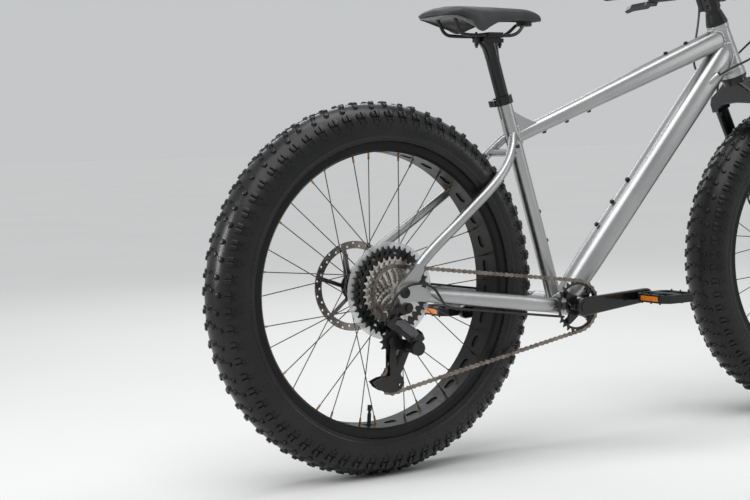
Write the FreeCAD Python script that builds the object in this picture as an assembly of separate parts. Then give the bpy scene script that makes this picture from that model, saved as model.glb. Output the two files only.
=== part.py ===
import FreeCAD
import Part
import math
import os

V = FreeCAD.Vector
X = V(1, 0, 0)
Y = V(0, 1, 0)
Z = V(0, 0, 1)

# Driving dimensions, in millimetres and degrees

WHEELBASE = 1200.0
TYRE_RADIUS = 365.0
CHAINSTAY_LENGTH = 450.0
BOTTOM_BRACKET_DROP = 64.0
SEAT_ANGLE = 73.4
SEAT_TUBE_LENGTH = 452.0
HEAD_ANGLE = 67.0
FORK_RAKE = 51.0
HEAD_LOW = 452.0
HEAD_LENGTH = 123.0

RUNNING_GAP = 0.05
FACE_GAP = 0.3
TUBE_WALL = 2.2
STAY_WALL = 1.8

CASING_RADIUS = 51.5
CASING_WALL = 3.0
KNOB_HEIGHT = 4.5
KNOB_SINK = 1.5
TREAD_SECTORS = 34
RIM_HALF_WIDTH = 42.6
RIM_INNER_RADIUS = 266.0
RIM_BED = 2.5
SPOKE_COUNT = 32
SPOKE_RADIUS = 1.0
NIPPLE_RADIUS = 2.0
NIPPLE_LENGTH = 14.0
SPOKE_LEAD = 65.0
ROTOR_RADIUS = 90.0
ROTOR_THICKNESS = 2.0
VALVE_RADIUS = 4.0
VALVE_LENGTH = 38.0

REAR_HUB_HALF = 98.5
FRONT_HUB_HALF = 75.0
DROPOUT_THICKNESS = 8.0
REAR_AXLE_RADIUS = 6.0
FRONT_AXLE_RADIUS = 7.5
SLEEVE_WALL = 2.5
BEARING_RADIUS = 14.0
FLANGE_RADIUS = 33.0
SPOKE_CIRCLE = 29.0
REAR_ROTOR_Y = 80.0
FRONT_ROTOR_Y = 60.0

SEAT_TUBE_RADIUS = 15.9
POST_RADIUS = 13.6
POST_LENGTH = 345.0
POST_TOP = 556.0
COLLAR_RADIUS = 19.5
COLLAR_HEIGHT = 17.0
SHELL_RADIUS = 22.0
SHELL_HALF = 60.0
SPINDLE_RADIUS = 12.0
TOP_TUBE_AT_SEAT = 364.0
TOP_TUBE_AT_HEAD = 543.0
DOWN_TUBE_AT_HEAD = 512.0
DOWN_TUBE_FORWARD = 15.6
BOSS_SPACING = 64.0
BOLT_HEAD_RADIUS = 4.2
BOLT_HEAD_HEIGHT = 3.0

STEERER_RADIUS = 14.3
STEERER_BASE_RADIUS = 19.05
STEM_LOW = 612.0
STEM_HEIGHT = 40.0
STEM_REACH = 62.0
BAR_CENTRE_RADIUS = 15.9
BULGE_RADIUS = 15.7
BULGE_HALF = 50.0
STEM_HALF_WIDTH = 24.0
BAR_END_RADIUS = 11.1
BAR_HALF_WIDTH = 380.0
BAR_RISE = 20.0
BAR_SWEEP = 8.5
GRIP_LENGTH = 132.0
GRIP_RADIUS = 16.0
HOSE_RADIUS = 2.5

CHAIN_PITCH = 12.7
CHAIN_Y = -71.0
ROLLER_RADIUS = 3.88
ROLLER_SEAT = 4.05
PLATE_RADIUS = 4.2
TOOTH_HEIGHT = 2.6
COG_HALF = 0.9
COG_PITCH = 3.9
COG_TEETH = [11, 13, 15, 17, 19, 21, 24, 28, 32, 37, 42]
CHAIN_COG = 24
CHAINRING_TEETH = 26
PULLEY_TEETH = 11
FREEHUB_RADIUS = 17.0
CRANK_LENGTH = 170.0
CRANK_TILT = 4.0
CRANK_INNER = 84.0
CRANK_WIDTH = 15.0
CHAINRING_BOLT_CIRCLE = 76.0
PEDAL_AXLE_RADIUS = 6.0
PEDAL_LENGTH = 92.0
PEDAL_DEPTH = 98.0
PEDAL_HEIGHT = 17.0

GUIDE_OFFSET = V(-12, 0, -95)
CAGE_LENGTH = 78.0
LINK_LENGTH = 54.0
LINK_SPACING = 14.0
LINK_RADIUS = 4.2
LINK_HALF = 6.0
BASE_PIN_OFFSET = V(-24, 0, -53)
CAGE_PIVOT_OFFSET = V(22, 0, -107)
HANGER_OFFSET = V(4, 0, -29)
DERAILLEUR_Y = -108.0

# Points and directions derived from them


def unit(vector):
    return vector * (1.0 / vector.Length)


def sine(angle):
    return math.sin(math.radians(angle))


def cosine(angle):
    return math.cos(math.radians(angle))


REAR = V(-WHEELBASE / 2, 0, TYRE_RADIUS)
FRONT = V(WHEELBASE / 2, 0, TYRE_RADIUS)
BRACKET = REAR + V(math.sqrt(CHAINSTAY_LENGTH ** 2 - BOTTOM_BRACKET_DROP ** 2), 0, -BOTTOM_BRACKET_DROP)
SEAT_UP = V(-cosine(SEAT_ANGLE), 0, sine(SEAT_ANGLE))
SEAT_FORWARD = V(sine(SEAT_ANGLE), 0, cosine(SEAT_ANGLE))
STEER_UP = V(-cosine(HEAD_ANGLE), 0, sine(HEAD_ANGLE))
STEER_FORWARD = V(sine(HEAD_ANGLE), 0, cosine(HEAD_ANGLE))
STEER_BASE = FRONT - X * (FORK_RAKE / sine(HEAD_ANGLE))
HEAD_TOP = HEAD_LOW + HEAD_LENGTH
AXLE_DROP = FORK_RAKE / math.tan(math.radians(HEAD_ANGLE))
CASING_CENTRE = TYRE_RADIUS - KNOB_HEIGHT - CASING_RADIUS
DROPOUT_OUTER = REAR_HUB_HALF + DROPOUT_THICKNESS


def seat_point(distance, forward=0.0, side=0.0):
    return BRACKET + SEAT_UP * distance + SEAT_FORWARD * forward + Y * side


def steer_point(forward, side, height):
    return STEER_BASE + STEER_FORWARD * forward + Y * side + STEER_UP * height


# Shape helpers


def placed(shape, origin, first, second, third):
    matrix = FreeCAD.Matrix(
        first.x, second.x, third.x, origin.x,
        first.y, second.y, third.y, origin.y,
        first.z, second.z, third.z, origin.z,
        0, 0, 0, 1)
    result = shape.copy()
    result.Placement = FreeCAD.Placement(matrix).multiply(result.Placement)
    return result


def moved(shape, offset):
    result = shape.copy()
    result.translate(offset)
    return result


def turned(shape, centre, axis, angle):
    result = shape.copy()
    result.rotate(centre, axis, angle)
    return result


def mirrored(shape):
    return shape.mirror(V(0, 0, 0), Y)


def rod(start, end, radius):
    return Part.makeCylinder(radius, (end - start).Length, start, end - start)


def pipe(start, end, outer, inner):
    return rod(start, end, outer).cut(rod(start, end, inner))


def cone(start, end, start_radius, end_radius):
    return Part.makeCone(start_radius, end_radius, (end - start).Length, start, end - start)


def rod_y(centre, low, high, radius):
    return rod(V(centre.x, low, centre.z), V(centre.x, high, centre.z), radius)


def pipe_y(centre, low, high, outer, inner):
    return rod_y(centre, low, high, outer).cut(rod_y(centre, low, high, inner))


def box(low, high):
    return Part.makeBox(high.x - low.x, high.y - low.y, high.z - low.z, low)


def slab(points, low, high):
    corners = [V(x, low, z) for x, z in points]
    face = Part.Face(Part.makePolygon(corners + corners[:1]))
    return face.extrude(Y * (high - low))


def arc(start, middle, end):
    return Part.Arc(start, middle, end).toShape()


def line(start, end):
    return Part.LineSegment(start, end).toShape()


def capsule(first, first_radius, second, second_radius, low, high):
    start = V(first.x, low, first.z)
    end = V(second.x, low, second.z)
    along = unit(end - start)
    across = along.cross(Y)
    lean = math.acos((first_radius - second_radius) / (end - start).Length)
    left = along * math.cos(lean) + across * math.sin(lean)
    right = along * math.cos(lean) - across * math.sin(lean)
    edges = [
        arc(start + left * first_radius, start - along * first_radius, start + right * first_radius),
        line(start + right * first_radius, end + right * second_radius),
        arc(end + right * second_radius, end + along * second_radius, end + left * second_radius),
        line(end + left * second_radius, start + left * first_radius)]
    return Part.Face(Part.Wire(edges)).extrude(Y * (high - low))


def revolved(points):
    corners = [V(radius, y, 0) for radius, y in points]
    face = Part.Face(Part.makePolygon(corners + corners[:1]))
    return face.revolve(V(0, 0, 0), Y, 360)


def fused(shapes):
    return shapes[0].multiFuse(shapes[1:]).removeSplitter()


def rounded(shape, radius, wanted):
    return shape.makeFillet(radius, [edge for edge in shape.Edges if wanted(edge)])


SECTION_POINTS = 20


def section(centre, along, side_half, up_half, power):
    along = unit(along)
    reference = X if abs(along.y) > 0.8 else Y
    side = unit(reference - along * along.dot(reference))
    up = along.cross(side)
    points = []
    for index in range(SECTION_POINTS):
        angle = 360.0 * index / SECTION_POINTS
        across = math.copysign(abs(cosine(angle)) ** (2.0 / power), cosine(angle))
        above = math.copysign(abs(sine(angle)) ** (2.0 / power), sine(angle))
        points.append(centre + side * (across * side_half) + up * (above * up_half))
    curve = Part.BSplineCurve()
    curve.interpolate(Points=points, PeriodicFlag=True, Parameters=list(range(SECTION_POINTS + 1)))
    return Part.Wire(curve.toShape())


def skin(stations, inset=0.0):
    centres = [station[0] for station in stations]
    wires = []
    for index, (centre, side_half, up_half, power) in enumerate(stations):
        before = centres[max(index - 1, 0)]
        after = centres[min(index + 1, len(centres) - 1)]
        along = unit(after - before)
        if inset and index == 0:
            centre = centre - along
        if inset and index == len(centres) - 1:
            centre = centre + along
        wires.append(section(centre, along, side_half - inset, up_half - inset, power))
    return Part.makeLoft(wires, True, False)


def hollow(stations, wall):
    return skin(stations).cut(skin(stations, wall))


def hose(points, radius):
    edges = []
    start = points[0]
    for index in range(1, len(points) - 1):
        corner = points[index]
        back = points[index - 1] - corner
        ahead = points[index + 1] - corner
        trim = 0.46 * min(back.Length, ahead.Length)
        first = corner + unit(back) * trim
        last = corner + unit(ahead) * trim
        turn = math.pi - unit(back).getAngle(unit(ahead))
        bend = trim / math.tan(turn / 2)
        inward = unit(unit(back) + unit(ahead))
        centre = corner + inward * math.hypot(bend, trim)
        edges.append(line(start, first))
        edges.append(arc(first, centre - inward * bend, last))
        start = last
    edges.append(line(start, points[-1]))
    path = Part.Wire(edges)
    profile = Part.Wire(Part.makeCircle(radius, points[0], unit(points[1] - points[0])))
    return path.makePipeShell([profile], True, False)


# Wheels


def tyre():
    def on_circle(radius, angle):
        return V(CASING_CENTRE + radius * sine(angle), radius * cosine(angle), 0)

    inner_radius = CASING_RADIUS - CASING_WALL
    shelf = RIM_INNER_RADIUS + RIM_BED + 8.3
    outer_start = on_circle(CASING_RADIUS, -20)
    inner_start = on_circle(inner_radius, -15)
    heel = V(shelf + 9.4, RIM_HALF_WIDTH - 2.4, 0)
    foot = V(shelf, RIM_HALF_WIDTH - 2.8, 0)
    toe = V(shelf, RIM_HALF_WIDTH - 8.1, 0)
    throat = V(shelf + 9.7, RIM_HALF_WIDTH - 6.3, 0)

    def flip(point):
        return V(point.x, -point.y, 0)

    half = [outer_start, heel, foot, toe, throat, inner_start]
    edges = [arc(outer_start, on_circle(CASING_RADIUS, 90), flip(outer_start))]
    edges += [line(flip(a), flip(b)) for a, b in zip(half, half[1:])]
    edges.append(arc(flip(inner_start), on_circle(inner_radius, 90), inner_start))
    edges += [line(b, a) for a, b in reversed(list(zip(half, half[1:])))]
    step = 360.0 / TREAD_SECTORS
    casing = Part.Face(Part.Wire(edges)).revolve(V(0, 0, 0), Y, step)
    solid = casing.multiFuse(tread_knobs(step))
    kept = []
    for face in solid.Faces:
        middle = face.CenterOfMass
        around = math.degrees(math.atan2(-middle.z, middle.x))
        flat = isinstance(face.Surface, Part.Plane)
        if flat and (abs(around) < 1e-4 or abs(around - step) < 1e-4):
            continue
        kept.append(face)
    ring = []
    for index in range(TREAD_SECTORS):
        ring += [turned(face, V(0, 0, 0), Y, index * step) for face in kept]
    sewn = Part.makeCompound(ring)
    sewn.sewShape(1e-3)
    return Part.makeSolid(sewn.Shells[0])


def tread_knobs(step):
    knobs = []
    rows = [(0.25, [(7, 8, 8), (27, 9, 10)]), (0.75, [(15, 10, 9), (33, 9, 9)])]
    for share, knob_list in rows:
        for tilt, long, wide in knob_list:
            for side in (-1, 1):
                knobs.append(knob(step * (share + 0.04 * side), side * tilt, long, wide, KNOB_HEIGHT))
    for share in (0.27, 0.77):
        for side in (-1, 1):
            knobs.append(knob(step * share, side * 54, 16, 11, KNOB_HEIGHT))
    return knobs


def knob(around, tilt, long, wide, height):
    body = box(V(-KNOB_SINK, -wide / 2, -long / 2), V(height, wide / 2, long / 2))
    body.translate(V(CASING_RADIUS, 0, 0))
    body.rotate(V(0, 0, 0), Z, tilt)
    body.translate(V(CASING_CENTRE, 0, 0))
    body.rotate(V(0, 0, 0), Y, around)
    return body


def rim(valve_angle):
    edge = RIM_HALF_WIDTH
    bed = RIM_INNER_RADIUS + RIM_BED
    half = [(bed + 17, edge - 2.3), (bed + 17, edge), (bed + 3.5, edge), (RIM_INNER_RADIUS + 1, edge - 6.6)]
    top = [(bed + 8, edge - 2.3), (bed + 8, edge - 9.6), (bed + 1, edge - 11.6)]
    profile = half + [(r, -y) for r, y in reversed(half)] + [(r, -y) for r, y in top] + list(reversed(top))
    hoop = revolved(profile)
    cuts = []
    for index in range(SPOKE_COUNT):
        window = box(V(RIM_INNER_RADIUS - 8, -9, -13), V(bed + 6, 9, 13))
        window = rounded(window, 8.5, lambda edge: abs(edge.tangentAt(edge.FirstParameter).x) > 0.9)
        cuts.append(turned(window, V(0, 0, 0), Y, 360.0 * (index + 0.5) / SPOKE_COUNT))
    valve_hole = rod(V(200, 0, 0), V(300, 0, 0), VALVE_RADIUS + FACE_GAP)
    cuts.append(turned(valve_hole, V(0, 0, 0), Y, valve_angle))
    strip = revolved([(bed + 1.1, -30), (bed + 1.6, -30), (bed + 1.6, 30), (bed + 1.1, 30)])
    strip = strip.cut(cuts[-1])
    return [hoop.cut(cuts), strip]


def inner_tube(valve_angle):
    radius = 41.0
    centre = TYRE_RADIUS - KNOB_HEIGHT - CASING_WALL - radius - 0.5
    torus = Part.makeTorus(centre, radius, V(0, 0, 0), Y)
    torus = torus.cut(Part.makeTorus(centre, radius - 1.2, V(0, 0, 0), Y))
    tip = RIM_INNER_RADIUS - VALVE_LENGTH
    stem = fused([
        rod(V(tip + 16, 0, 0), V(centre - radius + 0.6, 0, 0), VALVE_RADIUS - 0.2),
        rod(V(tip + 11, 0, 0), V(tip + 16, 0, 0), 2.6),
        rod(V(tip, 0, 0), V(tip + 11, 0, 0), 4.4)])
    return fused([torus, turned(stem, V(0, 0, 0), Y, valve_angle)])


def spokes(right_flange, left_flange):
    solids = []
    for index in range(SPOKE_COUNT):
        rim_angle = 360.0 * index / SPOKE_COUNT
        flange = right_flange if index % 2 else left_flange
        lead = SPOKE_LEAD if index % 4 < 2 else -SPOKE_LEAD
        inside = 1.6 if index % 4 < 2 else -1.6
        hub_angle = rim_angle + lead
        side = math.copysign(13.0, flange)
        start = V(SPOKE_CIRCLE * cosine(hub_angle), flange + inside, -SPOKE_CIRCLE * sine(hub_angle))
        end = V(RIM_INNER_RADIUS * cosine(rim_angle), side, -RIM_INNER_RADIUS * sine(rim_angle))
        joint = end + unit(start - end) * NIPPLE_LENGTH
        tip = end + unit(end - start) * 1.0
        wire = rod(start, joint + unit(end - start), SPOKE_RADIUS)
        solids.append(fused([wire, rod(joint, tip, NIPPLE_RADIUS)]))
    return solids


def hub(right_flange, left_flange, right_end, left_end, rotor_y):
    neck = BEARING_RADIUS + 3.0
    profile = [
        (BEARING_RADIUS, right_end), (neck, right_end), (neck, right_flange - 2.2),
        (FLANGE_RADIUS, right_flange - 1.6), (FLANGE_RADIUS, right_flange + 1.6),
        (neck + 3, right_flange + 5), (neck, right_flange + 14),
        (neck, left_flange - 14), (neck + 3, left_flange - 5),
        (FLANGE_RADIUS, left_flange - 1.6), (FLANGE_RADIUS, left_flange + 1.6),
        (neck + 4, left_flange + 3), (neck + 9, rotor_y), (neck, rotor_y),
        (neck, left_end), (BEARING_RADIUS, left_end)]
    return revolved(profile)


def rotor(y):
    spread = ROTOR_RADIUS - 15
    low = y
    high = y + ROTOR_THICKNESS
    centre = V(0, 0, 0)
    arms = []
    for index in range(6):
        arm = box(V(20, low, -4), V(spread + 3, high, 4))
        arm.rotate(V(22, 0, 0), Y, 20)
        arms.append(turned(arm, centre, Y, 60 * index))
    rings = [pipe_y(centre, low, high, ROTOR_RADIUS, spread), pipe_y(centre, low, high, 30, 18)]
    disc = fused(rings + arms)
    holes = []
    for index in range(36):
        hole = rod_y(V(ROTOR_RADIUS - (4 if index % 2 else 10), 0, 0), low - 1, high + 1, 2.2)
        holes.append(turned(hole, centre, Y, 10 * index))
    disc = disc.cut(holes)
    bolts = []
    for index in range(6):
        bolt = rod_y(V(24, 0, 0), high, high + BOLT_HEAD_HEIGHT, BOLT_HEAD_RADIUS)
        bolts.append(turned(bolt, centre, Y, 60 * index))
    return [disc] + bolts


# Sprockets and chain


def pitch_radius(teeth):
    return CHAIN_PITCH / (2 * math.sin(math.pi / teeth))


def sprocket(teeth, phase, low, high, bore):
    radius = pitch_radius(teeth)
    edges = []
    points = []
    for index in range(teeth):
        angle = phase + 360.0 * index / teeth
        outward = V(cosine(angle), 0, sine(angle))
        across = V(-sine(angle), 0, cosine(angle))
        seat = outward * radius
        start = seat - outward * (ROLLER_SEAT * 0.5) - across * (ROLLER_SEAT * 0.866)
        middle = seat - outward * ROLLER_SEAT
        end = seat - outward * (ROLLER_SEAT * 0.5) + across * (ROLLER_SEAT * 0.866)
        half = 180.0 / teeth
        tip_radius = radius + TOOTH_HEIGHT
        lean = math.degrees(0.8 / tip_radius)
        first_tip = V(cosine(angle + half - lean), 0, sine(angle + half - lean)) * tip_radius
        last_tip = V(cosine(angle + half + lean), 0, sine(angle + half + lean)) * tip_radius
        points.append((start, middle, end, first_tip, last_tip))
    for index, (start, middle, end, first_tip, last_tip) in enumerate(points):
        following = points[(index + 1) % teeth][0]
        edges.append(arc(start, middle, end))
        edges.append(line(end, first_tip))
        edges.append(line(first_tip, last_tip))
        edges.append(line(last_tip, following))
    disc = Part.Face(Part.Wire(edges)).extrude(Y * (high - low))
    disc.translate(Y * low)
    return disc.cut(rod_y(V(0, 0, 0), low - 1, high + 1, bore))


def left_of(direction):
    return V(-direction.z, 0, direction.x)


def tangent(first, first_radius, second, second_radius):
    between = second - first
    heading = math.atan2(between.z, between.x) - math.asin((second_radius - first_radius) / between.Length)
    direction = V(math.cos(heading), 0, math.sin(heading))
    return first - left_of(direction) * first_radius, second - left_of(direction) * second_radius


def chain_stations(cage_angle):
    tension = GUIDE + V(sine(cage_angle), 0, -cosine(cage_angle)) * CAGE_LENGTH
    wheels = [
        (BRACKET, -pitch_radius(CHAINRING_TEETH)), (tension, -pitch_radius(PULLEY_TEETH)),
        (GUIDE, pitch_radius(PULLEY_TEETH)), (REAR, -pitch_radius(CHAIN_COG))]
    runs = []
    for index, (centre, radius) in enumerate(wheels):
        following, next_radius = wheels[(index + 1) % len(wheels)]
        runs.append(tangent(centre, radius, following, next_radius))
    pieces = []
    for index, (centre, radius) in enumerate(wheels):
        entry = runs[index - 1][1] - centre
        leave = runs[index][0] - centre
        start = math.atan2(entry.z, entry.x)
        sweep = math.atan2(leave.z, leave.x) - start
        if radius < 0:
            sweep = -((-sweep) % (2 * math.pi))
        else:
            sweep = sweep % (2 * math.pi)
        step = 2 * math.asin(CHAIN_PITCH / (2 * abs(radius)))
        pieces.append(("arc", centre, abs(radius), start, sweep, abs(sweep) / step))
        first, last = runs[index]
        pieces.append(("run", first, last, (last - first).Length / CHAIN_PITCH))
    return tension, pieces


def chain_links(cage_angle):
    return sum(piece[-1] for piece in chain_stations(cage_angle)[1])


def solve_cage():
    nominal = chain_links(0)
    wanted = 2 * round(nominal / 2)
    low, high = -25.0, 25.0
    rising = chain_links(high) > chain_links(low)
    for _ in range(60):
        middle = (low + high) / 2
        if (chain_links(middle) < wanted) == rising:
            low = middle
        else:
            high = middle
    return middle, wanted


def chain_pins(pieces, count):
    pins = []
    phases = {}
    travelled = 0.0
    index = 0
    for piece in pieces:
        while index < travelled + piece[-1] - 1e-9 and index < count:
            share = (index - travelled) / piece[-1]
            if piece[0] == "arc":
                _, centre, radius, start, sweep, _ = piece
                angle = start + sweep * share
                pins.append(centre + V(math.cos(angle), 0, math.sin(angle)) * radius)
                phases[(round(centre.x, 3), round(centre.z, 3))] = math.degrees(angle)
            else:
                pins.append(piece[1] + (piece[2] - piece[1]) * share)
            index += 1
        travelled += piece[-1]
    return pins, phases


def link_plate(low, high):
    first = V(0, 0, 0)
    second = V(CHAIN_PITCH, 0, 0)
    waist = box(V(0, low, -2.9), V(CHAIN_PITCH, high, 2.9))
    return fused([rod_y(first, low, high, PLATE_RADIUS), rod_y(second, low, high, PLATE_RADIUS), waist])


def chain(pins):
    ends = [V(0, 0, 0), V(CHAIN_PITCH, 0, 0)]
    rollers = [rod_y(end, -1.5, 1.5, ROLLER_RADIUS) for end in ends]
    inner = fused([link_plate(-1.95, -1.1), link_plate(1.1, 1.95)] + rollers)
    inner = inner.cut([rod_y(end, -3, 3, 1.85) for end in ends])
    rivets = [rod_y(end, -2.8, 2.8, 1.8) for end in ends]
    outer = fused([link_plate(-2.8, -2.0), link_plate(2.0, 2.8)] + rivets)
    links = []
    for index, pin in enumerate(pins):
        following = pins[(index + 1) % len(pins)]
        middle = (pin + following) * 0.5
        along = unit(following - pin)
        start = middle - along * (CHAIN_PITCH / 2) + Y * CHAIN_Y
        shape = outer if index % 2 else inner
        links.append(placed(shape, start, along, Y, along.cross(Y)))
    return links


GUIDE = REAR + GUIDE_OFFSET
CAGE_ANGLE, LINK_COUNT = solve_cage()
TENSION, CHAIN_PATH = chain_stations(CAGE_ANGLE)
PINS, PHASES = chain_pins(CHAIN_PATH, LINK_COUNT)


def phase_at(centre):
    return PHASES[(round(centre.x, 3), round(centre.z, 3))]


NODES = {}

# Wheel nodes

REAR_RIGHT_FLANGE = -45.0
REAR_LEFT_FLANGE = 60.0
FRONT_RIGHT_FLANGE = -52.0
FRONT_LEFT_FLANGE = 40.0
REAR_VALVE = 95.0
FRONT_VALVE = 100.0
PROTECTOR_RADIUS = 94.5
SLEEVE_REAR = REAR_AXLE_RADIUS + SLEEVE_WALL
SLEEVE_FRONT = FRONT_AXLE_RADIUS + SLEEVE_WALL
BEARING_WIDTH = 7.0

TYRE = tyre()
SIDES = {
    "front": (
        FRONT, FRONT_VALVE, FRONT_RIGHT_FLANGE, FRONT_LEFT_FLANGE, -72.0, 72.0, FRONT_ROTOR_Y, SLEEVE_FRONT),
    "rear": (
        REAR, REAR_VALVE, REAR_RIGHT_FLANGE, REAR_LEFT_FLANGE, -47.2, 96.0, REAR_ROTOR_Y, SLEEVE_REAR)}
for end, (centre, valve, right, left, right_end, left_end, rotor_y, sleeve) in SIDES.items():
    shell = hub(right, left, right_end, left_end, rotor_y)
    bearings = [
        pipe_y(V(0, 0, 0), low, low + BEARING_WIDTH, BEARING_RADIUS, sleeve + RUNNING_GAP)
        for low in (right_end, left_end - BEARING_WIDTH)]
    NODES[end + "_tyre"] = [moved(TYRE, centre)]
    NODES[end + "_inner_tube"] = [moved(inner_tube(valve), centre)]
    NODES[end + "_rim"] = [moved(shape, centre) for shape in rim(valve)]
    NODES[end + "_spokes"] = [moved(shape, centre) for shape in spokes(right, left)]
    NODES[end + "_hub"] = [moved(shape, centre) for shape in [shell] + bearings]
    NODES[end + "_rotor"] = [moved(shape, centre) for shape in rotor(rotor_y)]

PROTECTOR_SECTION = [
    (22, -47.2), (36, -47.2), (50, -49.2), (PROTECTOR_RADIUS, -52.2), (PROTECTOR_RADIUS, -53.2), (50, -50.2),
    (36, -48.2), (22, -48.2)]
NODES["spoke_protector"] = [moved(revolved(PROTECTOR_SECTION), REAR)]

# Axles, fixed in the dropouts

NODES["rear_axle"] = [
    fused([rod_y(REAR, -DROPOUT_OUTER - 1.5, DROPOUT_OUTER, REAR_AXLE_RADIUS),
           rod_y(REAR, DROPOUT_OUTER, DROPOUT_OUTER + 6, 10),
           box(REAR + V(-4, DROPOUT_OUTER + 2, 0), REAR + V(4, DROPOUT_OUTER + 9, 62))]),
    pipe_y(REAR, -REAR_HUB_HALF, REAR_HUB_HALF, SLEEVE_REAR, REAR_AXLE_RADIUS + RUNNING_GAP)]
FRONT_OUTER = FRONT_HUB_HALF + 16.0
NODES["front_axle"] = [
    fused([rod_y(FRONT, -FRONT_OUTER - 1.5, FRONT_OUTER, FRONT_AXLE_RADIUS),
           rod_y(FRONT, -FRONT_OUTER - 6, -FRONT_OUTER, 11)]),
    pipe_y(FRONT, -FRONT_HUB_HALF, FRONT_HUB_HALF, SLEEVE_FRONT, FRONT_AXLE_RADIUS + RUNNING_GAP)]

# Frame tubes


def steered(shape):
    return placed(shape, STEER_BASE, STEER_FORWARD, Y, STEER_UP)


def turned_profile(points):
    corners = [V(radius, 0, height) for radius, height in points]
    face = Part.Face(Part.makePolygon(corners + corners[:1]))
    return face.revolve(V(0, 0, 0), Z, 360)


HEAD_OUTLINE = [
    (29.5, HEAD_LOW), (29.5, HEAD_LOW + 10), (27.6, HEAD_LOW + 16), (26.2, HEAD_LOW + 40),
    (24.4, HEAD_LOW + 72), (23.4, HEAD_TOP - 20), (23.4, HEAD_TOP - 13),
    (24.6, HEAD_TOP - 8), (24.6, HEAD_TOP)]
CUP_DEPTH = 12.0
UPPER_CUP = 22.0
LOWER_CUP = 26.0
head_solid = steered(turned_profile([(0, HEAD_LOW)] + HEAD_OUTLINE + [(0, HEAD_TOP)]))
head_bore = steered(turned_profile([
    (0, HEAD_LOW), (LOWER_CUP, HEAD_LOW), (LOWER_CUP, HEAD_LOW + CUP_DEPTH), (23.2, HEAD_LOW + CUP_DEPTH),
    (20.0, HEAD_TOP - CUP_DEPTH), (UPPER_CUP, HEAD_TOP - CUP_DEPTH), (UPPER_CUP, HEAD_TOP), (0, HEAD_TOP)]))
seat_solid = rod(BRACKET, seat_point(SEAT_TUBE_LENGTH), SEAT_TUBE_RADIUS)
shell_solid = rod_y(BRACKET, -SHELL_HALF, SHELL_HALF, SHELL_RADIUS)

DOWN_START = BRACKET + X * DOWN_TUBE_FORWARD
DOWN_END = steer_point(0, 0, DOWN_TUBE_AT_HEAD)
DOWN_ALONG = unit(DOWN_END - DOWN_START)
DOWN_UP = DOWN_ALONG.cross(Y)
DOWN_UP = DOWN_UP if DOWN_UP.z > 0 else DOWN_UP * -1
down_stations = [
    (DOWN_START, 20, 17, 2.2), (DOWN_START + DOWN_ALONG * 60, 24, 27, 2.4),
    (DOWN_START + (DOWN_END - DOWN_START) * 0.5, 25, 28.5, 2.6),
    (DOWN_END - DOWN_ALONG * 70, 25, 30, 2.6), (DOWN_END, 21.5, 29, 2.4)]
down_solid = skin(down_stations)

TOP_START = seat_point(TOP_TUBE_AT_SEAT)
TOP_END = steer_point(0, 0, TOP_TUBE_AT_HEAD)
TOP_ALONG = unit(TOP_END - TOP_START)
TOP_UP = V(-TOP_ALONG.z, 0, TOP_ALONG.x)
top_stations = [
    (TOP_START, 13.5, 13.5, 2.2), (TOP_START + TOP_ALONG * 150, 17, 15.5, 2.4),
    (TOP_START + TOP_ALONG * 380, 20, 20, 2.6), (TOP_END, 20.5, 24, 2.6)]
top_solid = skin(top_stations)

NODES["head_tube"] = [head_solid.cut(head_bore)]
NODES["bottom_bracket_shell"] = [shell_solid.cut(rod_y(BRACKET, -SHELL_HALF, SHELL_HALF, 17.4))]
seat_tube = seat_solid.cut(rod(BRACKET, seat_point(SEAT_TUBE_LENGTH), POST_RADIUS + RUNNING_GAP))
slot = box(V(-30, -1.5, 0), V(-8, 1.5, 44))
slot = placed(slot, seat_point(SEAT_TUBE_LENGTH - 42), SEAT_FORWARD, Y, SEAT_UP)
NODES["seat_tube"] = [seat_tube.cut([shell_solid, slot])]
NODES["down_tube"] = [hollow(down_stations, TUBE_WALL).cut([head_solid, shell_solid, seat_solid])]
top_tube = hollow(top_stations, TUBE_WALL).cut([head_solid, seat_solid, down_solid])
gusset_foot = TOP_START + TOP_ALONG * 70 + TOP_UP * 6
gusset_head = seat_point(TOP_TUBE_AT_SEAT + 68)
gusset = slab([(point.x, point.z) for point in (gusset_foot, gusset_head, TOP_START)], -11, 11)
gusset = gusset.cut([seat_solid, top_solid])
NODES["top_tube"] = [max(top_tube.Solids, key=lambda solid: solid.Volume), gusset]

# Rear triangle

SEATSTAY_PATH = [
    (V(-580, -101, 391), 8.0, 9.5), (V(-552, -96, 421), 9.0, 10.5), (V(-470, -83, 480), 10, 10.5),
    (V(-404, -73, 526), 10, 10.5), (V(-342, -61, 572), 10, 10), (V(-306, -47, 606), 9.5, 9.5),
    (V(-280, -26, 638), 9, 9), (V(-262, -6, 660), 8.5, 8.5)]
CHAINSTAY_PATH = [
    (V(-572, -102, 360), 6.5, 11.0), (V(-536, -97, 354), 8.5, 13.5), (V(-470, -86, 345), 9.5, 15),
    (V(-405, -78, 335), 9.5, 15.5), (V(-325, -73, 323), 8.8, 15.5), (V(-245, -68, 311), 8, 15),
    (V(-202, -57, 305), 8, 14), (V(-164, -44, 301), 8, 13)]


def stay(path, cuts):
    stations = [(point, side, up, 2.2) for point, side, up in path]
    tube = skin(stations).cut(skin(stations[1:], STAY_WALL)).cut(cuts)
    return max(tube.Solids, key=lambda solid: solid.Volume)


def dropout_plate(low, high):
    upper = REAR + V(34, 0, 42)
    front = REAR + V(46, 0, -7)
    plate = fused([capsule(REAR, 17, upper, 11, low, high), capsule(REAR, 17, front, 13, low, high)])
    return plate.cut(rod_y(REAR, low - 1, high + 1, REAR_AXLE_RADIUS + RUNNING_GAP))


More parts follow.
